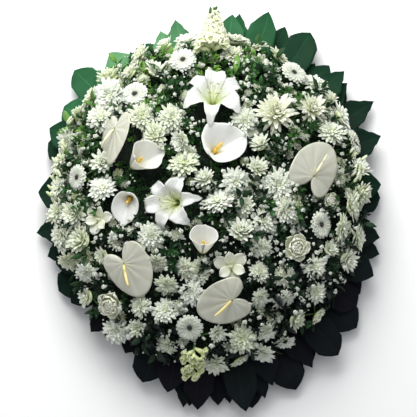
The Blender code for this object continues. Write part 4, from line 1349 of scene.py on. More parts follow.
@dataclass
class Callas:
    """Calla lilies: a funnel that wraps round a yellow finger, with a rolled rim and one pointed tip."""

    finishes: Finishes
    aims: tuple[Aim, ...] = (
        Aim(
            (
                (-180, 0.84), (-160, 0.86), (-127, 1.00), (-95, 1.00), (-70, 1.04), (-42, 1.08),
                (-26, 1.12), (-13, 1.34), (2, 1.08), (30, 0.88), (60, 0.92), (85, 1.12), (113, 0.98),
                (148, 0.86), (180, 0.82),
            ),
        ),
        Aim(
            (
                (-180, 0.60), (-140, 0.68), (-90, 0.82), (-45, 0.92), (-15, 1.05), (8, 1.40),
                (24, 1.05), (50, 0.92), (90, 0.84), (140, 0.68), (180, 0.58),
            ),
            34.0, 48.0, -0.030, 0.014, 1.40, 0.66,
        ),
        Aim(
            (
                (-180, 0.70), (-135, 0.82), (-90, 0.82), (-50, 0.92), (-22, 1.02), (0, 1.30),
                (22, 1.02), (50, 0.88), (90, 0.80), (135, 0.80), (180, 0.68),
            ),
        ),
        Aim(
            (
                (-180, 0.62), (-140, 0.72), (-90, 0.90), (-45, 0.90), (-15, 0.94), (0, 1.04),
                (15, 0.94), (45, 0.90), (90, 0.88), (140, 0.70), (180, 0.60),
            ),
            -4.0, 43.0, -0.018, 0.008, 1.35, 0.66,
        ),
    )
    throat: float = 0.0050
    throat_level: float = -0.034
    finger_radius: float = 0.0054
    overlap: float = 1.06
    wall: float = 0.0012
    upright_finger: float = 0.80
    tilted_finger: float = 1.05

    def spathe(self, size: float, aim: Aim) -> Mesh:
        """The funnel of one calla over its throat, whose two edges pass over each other opposite its tip.

        Args:
            size: The flower's size.
            aim: How the funnel stands.

        Returns:
            The template.
        """

        def place(share: float, side: float) -> Vector:
            """A point of the funnel: share runs from the throat to the rim, side round it."""
            angle = pi * side * self.overlap
            tip = max(0.0, cos(angle))
            rim = size * blend(aim.rim, degrees(angle) / self.overlap)
            open_to = self.throat + (rim - self.throat) * share**aim.flare
            roll = max(0.0, share - 0.80) / 0.20
            waved = 0.10 * cos(angle) - 0.14 * tip**6 + 0.03 * sin(3 * angle)
            rim_level = size * (0.34 + waved)
            level = (rim_level - self.throat_level) * share**0.85
            level -= roll * roll * 0.07 * size * (1 - 0.5 * tip)
            open_to *= 1 + 0.05 * side * share
            return Vector((open_to * cos(angle), open_to * sin(angle), level * aim.depth))

        return keep(sheet(18, 44, place, self.wall), "spathe")

    def build(self) -> None:
        """Makes the spathe and the spadix of each calla."""
        for spot, aim in zip(CALLAS, self.aims):
            throat = move(aim.back, 0, self.throat_level + aim.raised)
            pose = spot.pose @ yaw(radians(aim.aside)) @ throat @ pitch(-aim.tilt)
            piece = Piece(spot.name + "_funnel")
            piece.stamp(self.spathe(spot.size, aim), pose)
            top, foot = spot.stem
            ends = (pose @ Vector((0, 0, 0.003)), pose @ Vector((0, 0, -0.010)), top.lerp(foot, 0.5), foot)
            piece.add_rod(ends, (0.0056, 0.0050, 0.0040, 0.0034), 10, 0.6)
            piece.finish((self.finishes.calla, self.finishes.stem), Slot.SPATHE, spot.name + "_spathe")
            tall = (self.tilted_finger if aim.tilt else self.upright_finger) * spot.size
            points = [Vector((0, 0, tall * k / 7)) for k in range(8)]
            radii = [share * self.finger_radius for share in (0.5, 0.85, 1.0, 1.03, 1.0, 0.93, 0.76, 0.26)]
            piece = Piece(spot.name + "_finger")
            piece.add_rod(points, radii, 12, 1.0, 0, pose)
            piece.finish((self.finishes.golden_spadix,), Slot.SPADIX, spot.name + "_spadix")


@dataclass
class Anthuriums:
    """Anthuriums: a heart with deep curved veins, and a tapering finger from its root."""

    finishes: Finishes
    lobe_angle: float = radians(125)
    lobe_spread: float = radians(32)
    notch_spread: float = radians(24)
    veins: float = 4.5
    halves: Stops = ((0.95, 0.95), (1.0, 0.80), (1.0, 0.82), (0.88, 0.92))
    finger_turns: tuple[float, ...] = (-10.0, -13.0, 0.0, 18.0)

    def reach(self, angle: float) -> float:
        """How far the heart reaches at an angle from its tip, as a share of its size."""
        away = abs(angle)
        lobe = 0.20 * exp(-(((away - self.lobe_angle) / self.lobe_spread) ** 2))
        notch = 0.28 * exp(-(((pi - away) / self.notch_spread) ** 2))
        point = 0.14 * max(0.0, cos(angle)) ** 8
        return 0.66 + 0.26 * cos(angle) + point + lobe - notch

    def heart(self, size: float, phase: float, halves: Pair) -> Mesh:
        """The heart-shaped blade.

        Args:
            size: Its size.
            phase: Shifts the waves of its edge.
            halves: Width of its left and its right half.

        Returns:
            The template.
        """

        def place(share: float, side: float) -> Vector:
            """A point of the heart: share runs from its root outwards, side round it."""
            angle = pi * side
            reach = size * self.reach(angle) * share
            swept = angle - 1.1 * sin(angle) * share
            groove = exp(-((sin(self.veins * swept) / 0.24) ** 2))
            level = size * (0.030 * abs(sin(angle)) * share - 0.075 * share * share)
            level -= 0.016 * size * groove * share * (1.1 - share)
            level += 0.028 * size * sin(3 * angle + phase) * share**3
            wide = halves[0] if side > 0 else halves[1]
            return Vector((reach * cos(angle), reach * sin(angle) * wide, level))

        return keep(sheet(14, 72, place, 0.0014), "heart")

    def build(self) -> None:
        """Makes the spathe and the spadix of each anthurium."""
        for number, spot in enumerate(ANTHURIUMS):
            size = spot.size
            piece = Piece(spot.name + "_heart")
            piece.stamp(self.heart(size, 1.7 * number, self.halves[number]), spot.pose)
            piece.add_rod(spot.stem, (0.0030, 0.0034), 10, 0.6)
            finishes = self.finishes.anthurium, self.finishes.stem
            piece.finish(finishes, Slot.SPATHE, spot.name + "_spathe")
            shares = (0.03, 0.10, 0.20, 0.32, 0.44, 0.56, 0.63, 0.66)
            rises = (0.0, 0.06, 0.11, 0.16, 0.20, 0.22, 0.226, 0.227)
            points = [Vector((share * size, 0, 0.0016 + rise * size)) for share, rise in zip(shares, rises)]
            radii = (0.0020, 0.0036, 0.0038, 0.0037, 0.0034, 0.0030, 0.0024, 0.0010)
            piece = Piece(spot.name + "_finger")
            turned = yaw(radians(self.finger_turns[number]))
            piece.add_rod(points, radii, 12, 1.0, 0, spot.pose @ turned)
            finish = self.finishes.spadix if number % 2 else self.finishes.pale_spadix
            piece.finish((finish,), Slot.SPADIX, spot.name + "_spadix")


@dataclass
class Lilies:
    """White lilies: six recurved tepals round a green throat, with brown anthers."""

    finishes: Finishes
    dip: float = 0.026

    def tepal(self, size: float, wide: float, fall: float) -> Mesh:
        """One tepal, along +X.

        Args:
            size: Reach of its tip.
            wide: Its width as a share of the size.
            fall: How far its tip falls back.

        Returns:
            The template.
        """
        outline = ((0.0, 0.26), (0.20, 0.60), (0.50, 1.0), (0.74, 0.86), (0.92, 0.42), (1.0, 0.04))
        start, tip = (0.0, -self.dip + 0.001), (1.0, fall * size)
        rise = (start, (0.22, -0.006), (0.55, 0.14 * size), (0.80, 0.12 * size), tip)

        def place(share: float, side: float) -> Vector:
            """A point of the tepal."""
            swell = blend(outline, share)
            half = size * wide / 2 * swell
            trough = 0.30 * half * side * side - 0.10 * half * exp(-30 * side * side)
            ruffle = 0.030 * size * sin(9 * share + 2 * side) * side * side * share * swell
            reach = 0.006 + (size - 0.006) * share**1.15
            return Vector((reach, half * side, blend(rise, share) + trough + ruffle))

        return keep(sheet(14, 8, place, 0.0010), "tepal")

    def build(self) -> None:
        """Makes the tepals and the stamens of each lily."""
        for spot in LILIES:
            piece = Piece(spot.name + "_petals")
            inner, outer = self.tepal(spot.size, 0.64, -0.04), self.tepal(spot.size, 0.50, -0.12)
            for k in range(6):
                matrix = yaw(pi * k / 3) @ move(0, 0, -0.0010 if k % 2 else 0.0)
                piece.stamp(outer if k % 2 else inner, spot.pose @ matrix)
            start = spot.pose @ Vector((0, 0, -self.dip + 0.001))
            piece.add_rod((start, *spot.stem), (0.0075, 0.0055, 0.0034), 10, 0.6)
            piece.finish((self.finishes.lily, self.finishes.stem), Slot.PETAL, spot.name + "_tepals")
            self.stamens(spot)

    def stamens(self, spot: Spot) -> None:
        """Makes the stamens and the pistil of one lily.

        Args:
            spot: Where it stands.
        """
        piece = Piece(spot.name + "_anthers")
        base = Vector((0, 0, -self.dip + 0.0008))
        anther = keep(quill(0.0100, 0.0026, 0.0026, 0.0010, 8, 6), "anther")
        for k in range(6):
            bearing = 2 * pi * (k + 0.5) / 6
            out = bearing_way(bearing)
            middle = base + out * 0.006 + Vector((0, 0, 0.026))
            tip = base + out * 0.019 + Vector((0, 0, 0.047))
            radii = (0.0008, 0.0007, 0.0006)
            piece.add_rod((base + out * 0.002, middle, tip), radii, 6, 1.0, 1, spot.pose)
            placed = Matrix.Translation(tip - out.cross(Vector((0, 0, 1))) * 0.005)
            piece.stamp(anther, spot.pose @ placed @ yaw(bearing - pi / 2))
        knots = (0, 0, 0), (0.001, 0, 0.034), (0.002, 0, 0.0525), (0.002, 0, 0.056)
        points = [base + Vector(knot) for knot in knots]
        piece.add_rod(points, (0.0012, 0.0012, 0.0014, 0.0026), 9, 1.0, 1, spot.pose)
        piece.finish((self.finishes.stamen, self.finishes.pale), Slot.STAMEN, spot.name + "_stamens")


def cupped_petal(
    length: float, width: float, cup: float, curl: float, cells: tuple[int, int] = (7, 6)
) -> Mesh:
    """A broad petal with a short point that cups inwards and curls at its rim, along +X.

    Args:
        length: Its length.
        width: Its width.
        cup: Depth of the cup as a share of the width.
        curl: How far the rim turns back.
        cells: Cells along and across.

    Returns:
        The template.
    """
    outline = ((0.0, 0.34), (0.35, 0.88), (0.62, 1.0), (0.82, 0.80), (0.94, 0.44), (1.0, 0.12))

    def place(share: float, side: float) -> Vector:
        """A point of the petal."""
        half = width / 2 * blend(outline, share)
        level = cup * width * (side * side * share + sin(pi * min(1.0, share)) * -0.35)
        level += 0.045 * width * sin(7 * side + 4 * share) * share * share
        return Vector((length * share, half * side, level - curl * max(0.0, share - 0.7) ** 2 * 11 * length))

    return keep(sheet(*cells, place, 0.0009), "cupped")


@dataclass
class CreamFlowers:
    """The gladiolus florets, the roses and the large chrysanthemums, all cream white.

    Attributes:
        finishes: The materials.
        rose_rows: For each ring of a rose: petals, length, width, root reach, and tilt in degrees.
    """

    finishes: Finishes
    rose_rows: tuple[tuple[int, float, float, float, float], ...] = (
        (5, 0.92, 0.95, 0.30, 24),
        (5, 0.80, 0.88, 0.24, 44),
        (5, 0.70, 0.78, 0.16, 60),
        (4, 0.62, 0.62, 0.09, 74),
        (3, 0.56, 0.44, 0.04, 84),
    )

    def build(self) -> None:
        """Makes each bloom."""
        draw = Random(SEED + 12)
        for spot in GLADIOLI:
            self.gladiolus(spot, draw)
        for spot in ROSES:
            self.rose(spot, draw)
        template = DISBUD.build("disbud", draw)
        for spot in DISBUDS:
            piece = Piece(spot.name + "_petals")
            piece.stamp(template, spot.pose @ Matrix.Scale(spot.size * 1.04, 4), 0.8)
            self.add_stem(piece, spot)
            piece.finish((self.finishes.cream, self.finishes.stem), Slot.CREAM, spot.name + "_bloom")

    def add_stem(self, piece: Piece, spot: Spot) -> None:
        """Adds a flower's stem.

        Args:
            piece: The flower's piece.
            spot: Where it stands.
        """
        piece.add_rod(spot.stem, (0.0042, 0.0034), 8)

    def gladiolus(self, spot: Spot, draw: Random) -> None:
        """Makes one open floret: three petals over three more.

        Args:
            spot: Where it stands.
            draw: The draw of its petals.
        """
        radius = spot.size
        piece = Piece(spot.name + "_petals")
        for row, (length, width, tilt) in enumerate(((1.04, 0.80, 14), (0.90, 0.66, 34))):
            petal = cupped_petal(length * radius, width * radius, 0.16, 0.16)
            for k in range(3):
                placed = move(0.06 * radius, 0, -0.10 * radius + 0.06 * radius * row)
                tilted = pitch(tilt + draw.uniform(-4, 4))
                matrix = yaw(2 * pi * (k + 0.5 * row) / 3) @ placed @ tilted
                piece.stamp(petal, spot.pose @ matrix, draw.uniform(0.6, 1.0))
        column = [Vector((0, 0, share * radius)) for share in (-0.1, 0.34)]
        piece.add_rod(column, (0.002, 0.0012), 6, 1.0, 0, spot.pose)
        neck = [Vector((0, 0, share * radius)) for share in (-0.50, -0.25, 0.0)]
        piece.add_rod(neck, (0.0035, 0.0070, 0.0120), 12, 0.4, 0, spot.pose)
        self.add_stem(piece, spot)
        piece.finish((self.finishes.cream, self.finishes.stem), Slot.CREAM, spot.name + "_flower")

    def rose(self, spot: Spot, draw: Random) -> None:
        """Makes one rose: petals that wrap closer and stand steeper towards the middle.

        Args:
            spot: Where it stands.
            draw: The draw of its petals.
        """
        radius = spot.size
        piece = Piece(spot.name + "_petals")
        for row, (count, length, width, root, tilt) in enumerate(self.rose_rows):
            petal = cupped_petal(length * radius, width * radius, 0.30, 0.10 - 0.015 * row)
            for k in range(count):
                turned = yaw(2 * pi * k / count + row * 0.7 + draw.uniform(-0.1, 0.1))
                placed = move(root * radius * 0.5, 0, (-0.32 + 0.04 * row) * radius)
                matrix = turned @ placed @ pitch(tilt + draw.uniform(-4, 4))
                piece.stamp(petal, spot.pose @ matrix, draw.uniform(0.5, 1.0))
        base = bmesh.new()
        bmesh.ops.create_uvsphere(base, u_segments=14, v_segments=8, radius=0.34 * radius)
        mark(base, lambda co: 0.2)
        piece.stamp(keep(base, "base"), spot.pose @ move(0, 0, -0.20 * radius), 0.6)
        self.add_stem(piece, spot)
        piece.finish((self.finishes.cream, self.finishes.stem), Slot.CREAM, spot.name + "_bloom")


@dataclass
class Snapdragons:
    """Flower spikes: pouched pale florets round a stem, and green buds at the tip of the full one.

    Attributes:
        finishes: The materials.
        florets: Florets of a full spike.
        full_length: Length of a full spike.
        buds_from: Where the buds begin on a full spike, as a share of its length.
        nearly_full: A spike under this share of the full length has no buds.
    """

    finishes: Finishes
    florets: int = 44
    full_length: float = 0.146
    buds_from: float = 0.84
    nearly_full: float = 0.9

    def build(self) -> None:
        """Makes each spike."""
        draw = Random(SEED + 13)
        petal = cupped_petal(0.011, 0.012, 0.22, 0.24, (4, 4))
        for spot in SNAPDRAGONS:
            length = spot.size
            piece = Piece(spot.name + "_florets")
            knots = (-0.006, 0, 0.004), (0.5 * length, 0, 0.012), (length, 0, 0.016)
            piece.add_rod(map(Vector, knots), (0.0034, 0.0026, 0.0016), 8, 0.8, 1, spot.pose)
            grown = length / self.full_length
            florets = round(self.florets * grown**2)
            for k in range(florets):
                share = k / (florets - 1)
                angle = k * GOLDEN_ANGLE
                out = Vector((0.25, cos(angle), 0.35 + 0.65 * abs(sin(angle)))).normalized()
                foot = Vector((0.002 + 0.94 * length * share, 0, 0.005 + 0.010 * share))
                turned = Matrix.Translation(foot) @ out.to_track_quat("X", "Z").to_matrix().to_4x4()
                size = 2.5 * sqrt(grown) * (1 - 0.78 * grown**2 * share)
                slot = 0 if share < self.buds_from or grown < self.nearly_full else 1
                for side in range(5):
                    opened = pitch(52 - 24 * share + draw.uniform(-10, 10)) @ Matrix.Scale(size, 4)
                    matrix = turned @ move(0.012 * size, 0, 0) @ roll(2 * pi * side / 5) @ opened
                    fresh = draw.uniform(0.5, 1.0) * grown**2
                    piece.stamp(petal, spot.pose @ matrix, fresh, slot)
                ends = foot, foot + out * 0.014 * size
                piece.add_rod(ends, (0.0020 * size, 0.0045 * size), 6, 0.5, 0, spot.pose)
            piece.add_rod(spot.stem, (0.0034, 0.0034), 8)
            piece.finish((self.finishes.pale, self.finishes.stem), Slot.PALE_GREEN, spot.name + "_spike")


# Greenery


@dataclass
class Collar:
    """Broad leaves round the foam, on three bent branches."""

    finishes: Finishes
    foam_radius: float = 0.340
    branch_radius: float = 0.008
    branch_height: float = 0.045
    layers: tuple[float, float, float] = (0.030, 0.045, 0.060)
    width: float = 0.096
    fold: float = 0.006
    arch: float = 0.010
    broader: float = 1.02
    # Painted light: each leaf's tint by its bearing in degrees, lightest at the top left and darkest at the
    # bottom, where shade falls.
    painted_light_stops: Stops = (
        (0, 0.30), (40, 0.40), (60, 0.58), (74, 0.80), (90, 0.84), (104, 0.97), (128, 0.98),
        (142, 0.80), (158, 0.60), (175, 0.36), (205, 0.24), (226, 0.03), (335, 0.02), (350, 0.18),
        (360, 0.30),
    )
    outlines: tuple[Stops, ...] = (
        ((0.0, 0.12), (0.22, 0.62), (0.50, 0.98), (0.76, 0.86), (0.90, 0.46), (1.0, 0.0)),
        ((0.0, 0.12), (0.26, 0.58), (0.62, 1.0), (0.84, 0.88), (0.95, 0.42), (1.0, 0.0)),
        ((0.0, 0.14), (0.20, 0.60), (0.48, 1.0), (0.70, 0.82), (0.88, 0.36), (1.0, 0.0)),
    )

    def leaf(
        self, bearing: float, reach: float, layer: float, width: float, draw: Random
    ) -> Mesh:
        """One leaf in its place.

        Args:
            bearing: Its direction in degrees.
            reach: Distance of its tip from the middle.
            layer: Height of its tip.
            width: Its width.
            draw: The draw of its waves.

        Returns:
            The mesh.
        """
        bearing = radians(bearing)
        ahead = bearing_way(bearing)
        side_way = Vector((-ahead.y, ahead.x, 0))
        start = self.foam_radius + self.branch_radius
        length = reach - start
        wave, phase = draw.uniform(0.5, 1.4), draw.uniform(0, 6.28)
        outline, skew = draw.choice(self.outlines), draw.uniform(-0.30, 0.30)

        def place(share: float, side: float) -> Vector:
            """A point of the leaf: its root lies on the branch."""
            side = side + skew * share**3 * (1 - side * side)
            swell = blend(outline, share)
            half = width / 2 * swell
            level = layer + self.arch * sin(pi * share)
            near = max(0.0, 1 - share / 0.3)
            level += (self.branch_height + 0.45 * (layer - self.branch_height) - layer) * near * near
            level += self.fold * abs(side) * swell
            level += 0.0022 * sin(8 * share * wave + phase + 2.5 * side) * side * side * swell
            level += 0.0005 * cos(10 * pi * side) * (1 - share)
            return ahead * (start + length * share) + side_way * (half * side) + Vector((0, 0, level))

        return keep(sheet(18, 12, place, 0.0010), "collar_leaf")

    def build(self) -> None:
        """Makes a piece for each branch."""
        widths, draw = Random(SEED), Random(SEED + 14)
        number = 0
        for name, leaves in COLLAR.items():
            piece = Piece("leaf_branch_" + name + "_leaves")
            for bearing, reach in leaves:
                layer = self.layers[number % len(self.layers)]
                width = self.width * widths.uniform(0.92, 1.08) * self.broader
                # Painted light and shade from the leaf's bearing, with a little random tone.
                tint = max(0.0, blend(self.painted_light_stops, bearing) + draw.uniform(-0.08, 0.08))
                piece.stamp(self.leaf(bearing, reach, layer, width, draw), HERE, tint)
                number += 1
            for (first, near), (last, far) in zip(leaves, leaves[1:]):
                for share in (0.3, 0.7) if last - first > 4 else (0.5,):
                    bearing = first + (last - first) * (share + draw.uniform(-0.15, 0.15))
                    reach = min(near, far) - draw.uniform(0.005, 0.045)
                    wide = self.width * draw.uniform(0.75, 1.15)
                    leaf = self.leaf(bearing, reach, draw.uniform(0.018, 0.027), wide, draw)
                    # A leaf under the others is painted darker, as painted shade.
                    piece.stamp(leaf, HERE, 0.75 * blend(self.painted_light_stops, bearing))
            low, high = leaves[0][0] - 1, leaves[-1][0] + 1
            steps = round((high - low) / 4)
            radius = self.foam_radius + self.branch_radius + 0.001
            turns = [radians(low + (high - low) * k / steps) for k in range(steps + 1)]
            points = [Vector((radius * cos(t), radius * sin(t), self.branch_height)) for t in turns]
            piece.add_rod(points, [self.branch_radius] * len(points), 10)
            piece.finish((self.finishes.leaf, self.finishes.stem), Slot.COLLAR, "leaf_branch_" + name)


@dataclass
class Bed:
    """The bed of packed greenery: a dark core with sprigs of small leaves all over it.

    Attributes:
        layout: The settled blooms.
        finishes: The materials.
        drop: Depth of the core under the face.
        foot_radius: Radius of the core's foot.
        sprigs: Places tried for sprigs.
        rim_sprigs: Sprigs round the rim.
        sprig_height: Height of a sprig.
        kinds: Templates of fine and of broad sprigs.
        nearest: Nearest that a sprig stands to a large flower, as a share of what that hides.
        beside: Up to here from a large flower the sprigs are deep.
        open_bed: From here on broad sprigs stand among the fine ones.
        thinning: Under the blooms one place in so many is used.
        deep: How deep a sprig's foot lies under or beside a flower.
        shallow: How deep it lies elsewhere.
        sizes: Scale of a sprig close to a large flower, under or beside a flower, and elsewhere.
        rim_reach: How far out the rim sprigs stand, as a share of the rim.
        rim_height: The lowest and the highest foot of a rim sprig.
        rim_size: Scale of a rim sprig.
        fine_leaf: The shortest and the longest leaf of a fine sprig.
        broad_leaf: The shortest and the longest leaf of a broad one.
        accent_pitch: How far the accent leaves rise, in degrees.
        accents: For each bright leaf: its place in plan, bearing and length.
    """

    layout: Layout
    finishes: Finishes
    drop: float = 0.036
    foot_radius: float = 0.335
    sprigs: int = 1400
    rim_sprigs: int = 130
    sprig_height: float = 0.042
    kinds: int = 3
    nearest: float = 0.32
    beside: float = 1.2
    open_bed: float = 1.7
    thinning: int = 3
    deep: Pair = (0.038, 0.046)
    shallow: Pair = (0.024, 0.040)
    sizes: Triple = (0.70, 0.9, 1.15)
    rim_reach: float = 0.88
    rim_height: Pair = (0.075, 0.115)
    rim_size: float = 1.1
    fine_leaf: Pair = (0.016, 0.025)
    broad_leaf: Pair = (0.030, 0.046)
    accent_pitch: float = degrees(0.35)
    accents: tuple[tuple[float, float, float, float], ...] = (
        (0.072, 0.330, 80, 0.060), (-0.372, 0.212, 140, 0.070), (-0.362, 0.190, 175, 0.060),
    )

    def leaflet(self) -> Mesh:
        """A small folded leaf, one metre long, along +X."""
        outline = ((0.0, 0.10), (0.45, 1.0), (0.80, 0.70), (1.0, 0.0))

        def place(share: float, side: float) -> Vector:
            """A point of the leaf."""
            half = 0.21 * blend(outline, share)
            return Vector((share, half * side, 0.10 * abs(side) * half * 5 - 0.12 * share * share))

        return keep(sheet(3, 2, place, 0.02), "leaflet")

    def sprig(self, count: int, size: Pair, draw: Random) -> Mesh:
        """A twig with leaves round it, about 45 mm long, along +Z.

        Args:
            count: How many leaves it has.
            size: The shortest and the longest leaf.
            draw: The draw of its leaves.

        Returns:
            The template.
        """
        piece = Piece("sprig")
        knots = [(0.004 * sin(k), 0.003 * cos(2 * k), self.sprig_height * k / 3) for k in range(4)]
        piece.add_rod(map(Vector, knots), (0.0010, 0.0009, 0.0007, 0.0004), 4, 0.5, 0)
        leaf = self.leaflet()
        for k in range(count):
            share = 0.15 + 0.85 * k / (count - 1)
            placed = move(0.003 * sin(3 * share), 0, self.sprig_height * share)
            turned = yaw(k * 2.4 + draw.uniform(-0.3, 0.3)) @ pitch(draw.uniform(5, 50) + 30 * share)
            twisted = roll(draw.uniform(-0.6, 0.6))
            scaled = Matrix.Scale(draw.uniform(*size) * (1.1 - 0.3 * share), 4)
            piece.stamp(leaf, placed @ turned @ twisted @ scaled)
        return keep(piece.shape, "sprig")

    def core(self) -> Mesh:
        """The dome under the sprigs, coloured near-black as painted shade of the deep greenery."""
        shape = bmesh.new()
        bmesh.ops.create_uvsphere(shape, u_segments=64, v_segments=24, radius=1.0)
        wide, high, rise = FACE.half_width - self.drop, FACE.half_height - self.drop, FACE.rise - self.drop

        def place(co: Vector) -> Vector:
            """Where a vertex of the ball lies in the core: domed above, inset and flat below."""
            if co.z >= 0:
                level = 0.080 + co.z * (rise - 0.003) + 0.004 * noise.noise(co * 9)
                return Vector((co.x * (wide - 0.004), co.y * (high - 0.004), level))
            inset = 1 + co.z * (1 - self.foot_radius / wide)
            flat = hypot(co.x, co.y)
            scale = inset / max(flat, 1e-6) if flat > 0.35 else 1.0 / 0.35 * inset
            level = 0.0705 + 0.0095 * max(0.0, 1 + 2.2 * co.z)
            return Vector((co.x * scale * wide * 0.985, co.y * scale * high * 0.985, level))

        bend(shape, place)
        bmesh.ops.recalc_face_normals(shape, faces=shape.faces)
        mark(shape, lambda co: 0.0)
        return keep(shape, "core")

    def build(self) -> None:
        """Makes the bed."""
        draw = Random(SEED + 15)
        fine = [self.sprig(10, self.fine_leaf, draw) for _ in range(self.kinds)]
        templates = fine + [self.sprig(6, self.broad_leaf, draw) for _ in range(self.kinds)]
        core = Piece("bed_core")
        core.stamp(self.core(), HERE, 0.0)
        core.finish((self.finishes.core_shade,), Slot.BED, "greenery_bed")
        pieces = {True: Piece("bed_leaves_upper"), False: Piece("bed_leaves_lower")}
        for number, point in enumerate(face_spots(self.sprigs, 0.985)):
            under, away = self.layout.covered(point), self.layout.away(point)
            if away < self.nearest or (under and number % self.thinning):
                continue
            normal = FACE.normal(point)
            close = under or away < self.beside
            depth = draw.uniform(*(self.deep if close else self.shallow))
            size = self.sizes[0 if away < 1.0 else 1 if close else 2]
            kinds = templates if away > self.open_bed else fine
            self.plant(pieces[point.y > 0], kinds, point - normal * depth, normal, draw, size)
        for k in range(self.rim_sprigs):
            angle = 2 * pi * (k + draw.uniform(0, 0.8)) / self.rim_sprigs
            point = FACE.point(FACE.half_width * cos(angle), FACE.half_height * sin(angle))
            normal = (FACE.normal(point) + Vector((0, 0, -draw.uniform(0.2, 1.0)))).normalized()
            level = draw.uniform(*self.rim_height)
            foot = Vector((point.x * self.rim_reach, point.y * self.rim_reach, level))
            self.plant(pieces[point.y > 0], templates, foot, normal, draw, self.rim_size)
        leaf = self.leaflet()
        for x, y, turn, length in self.accents:
            pose = FACE.pose(FACE.point(x, y), 0.012, turn) @ pitch(self.accent_pitch)
            pieces[True].stamp(leaf, pose @ Matrix.Diagonal((length, length * 0.8, length, 1)), 0.88)
        for piece in pieces.values():
            piece.finish((self.finishes.small_leaf,), Slot.BED)

    def plant(
        self, piece: Piece, templates: list[Mesh], foot: Vector, up: Vector,
        draw: Random, size: float,
    ) -> None:
        """Stands one sprig in the bed.

        Args:
            piece: The piece of all sprigs.
            templates: The kinds of sprig.
            foot: Its foot.
            up: Its direction.
            draw: The draw of its turn and shade.
            size: Its scale.
        """
        turned = up.to_track_quat("Z", "Y").to_matrix().to_4x4()
        spun = yaw(draw.uniform(0, 6.28)) @ roll(draw.uniform(0.0, 0.55))
        scaled = Matrix.Scale(size * draw.uniform(0.8, 1.15), 4)
        matrix = Matrix.Translation(foot) @ turned @ spun @ scaled
        # Painted light: sprigs lighter towards the top and the left and darker towards the bottom, with some
        # random tone from noise.
        light = 0.40 + 0.9 * foot.y - 0.3 * foot.x + 0.35 * noise.noise(foot * 14)
        template = draw.choice(templates)
        piece.stamp(template, matrix, max(0.0, min(1.0, light + draw.uniform(-0.22, 0.28))))


@dataclass
class Gypsophila:
    """Clouds of tiny white florets on thin stalks between the blooms.

    Attributes:
        layout: The settled blooms.
        finishes: The materials.
        count: Places tried for a tuft of florets.
        heads: The fewest and the most florets of a tuft.
        radius: The smallest and the largest floret.
        button_radius: The smallest and the largest round button.
        button_share: Share of the florets that are buttons.
        depth: How deep the stalks start.
        spread: How far a floret strays from its tuft's middle.
        raised: The most that a floret stands over the face.
        parting: Height of the picture that parts the upper cloud from the lower.
        slack: How far a tuft keeps from a bloom's edge, which is under it here.
        limit: Nearest that a tuft stands to a large flower, as a share of what that hides.
    """

    layout: Layout
    finishes: Finishes
    count: int = 820
    heads: tuple[int, int] = (1, 4)
    radius: Pair = (0.0022, 0.0040)
    button_radius: Pair = (0.0054, 0.0088)
    button_share: float = 0.40
    depth: float = 0.028
    spread: float = 0.012
    raised: float = 0.020
    parting: float = -0.01
    slack: float = -0.009
    limit: float = 0.92

    def floret(self, draw: Random) -> Mesh:
        """A tiny double floret, one metre across, on its cup.

        Args:
            draw: The draw of its petals.

        Returns:
            The template.
        """
        piece = Piece("floret")
        head = bmesh.new()
        bmesh.ops.create_icosphere(head, subdivisions=1, radius=0.36)
        mark(head, lambda co: 1.0)
        piece.stamp(keep(head, "head"), HERE)
        petal = keep(quill(0.55, 0.42, 0.14, 0.10, 5, 3), "petal")
        for k in range(9):
            tilt = 20 if k < 5 else 55
            piece.stamp(petal, yaw(k * GOLDEN_ANGLE * 1.13) @ pitch(tilt + draw.uniform(-10, 10)))
        return keep(piece.shape, "floret")

    def build(self) -> None:
        """Makes the upper and the lower clouds."""
        draw = Random(SEED + 16)
        florets = [self.floret(draw) for _ in range(3)]
        for name, upper in (("upper", True), ("lower", False)):
            piece = Piece("gypsophila_" + name + "_florets")
            for point in face_spots(self.count, 0.97):
                if (point.y > self.parting) != upper or self.layout.covered(point, self.slack):
                    continue
                if self.layout.away(point) < self.limit:
                    continue
                normal = FACE.normal(point)
                foot = point - normal * self.depth
                for _ in range(draw.randint(*self.heads)):
                    way = Vector((draw.uniform(-1, 1), draw.uniform(-1, 1), draw.uniform(-0.6, 0.2)))
                    away = way * self.spread
                    head = point + away + normal * draw.uniform(0.0, self.raised)
                    sizes = self.button_radius if draw.random() < self.button_share else self.radius
                    size = draw.uniform(*sizes) * 2
                    turned = (normal + away * 30).to_track_quat("Z", "Y").to_matrix().to_4x4()
                    matrix = Matrix.Translation(head) @ turned @ Matrix.Scale(size, 4)
                    piece.stamp(draw.choice(florets), matrix, draw.uniform(0.7, 1.0))
                    middle = foot.lerp(head, 0.55) + away * 0.3
                    piece.add_rod((foot, middle, head), (0.0005, 0.0004, 0.0003), 3, 0.7)
            piece.finish((self.finishes.petal, self.finishes.stem), Slot.PETAL, "gypsophila_" + name)


# Stage


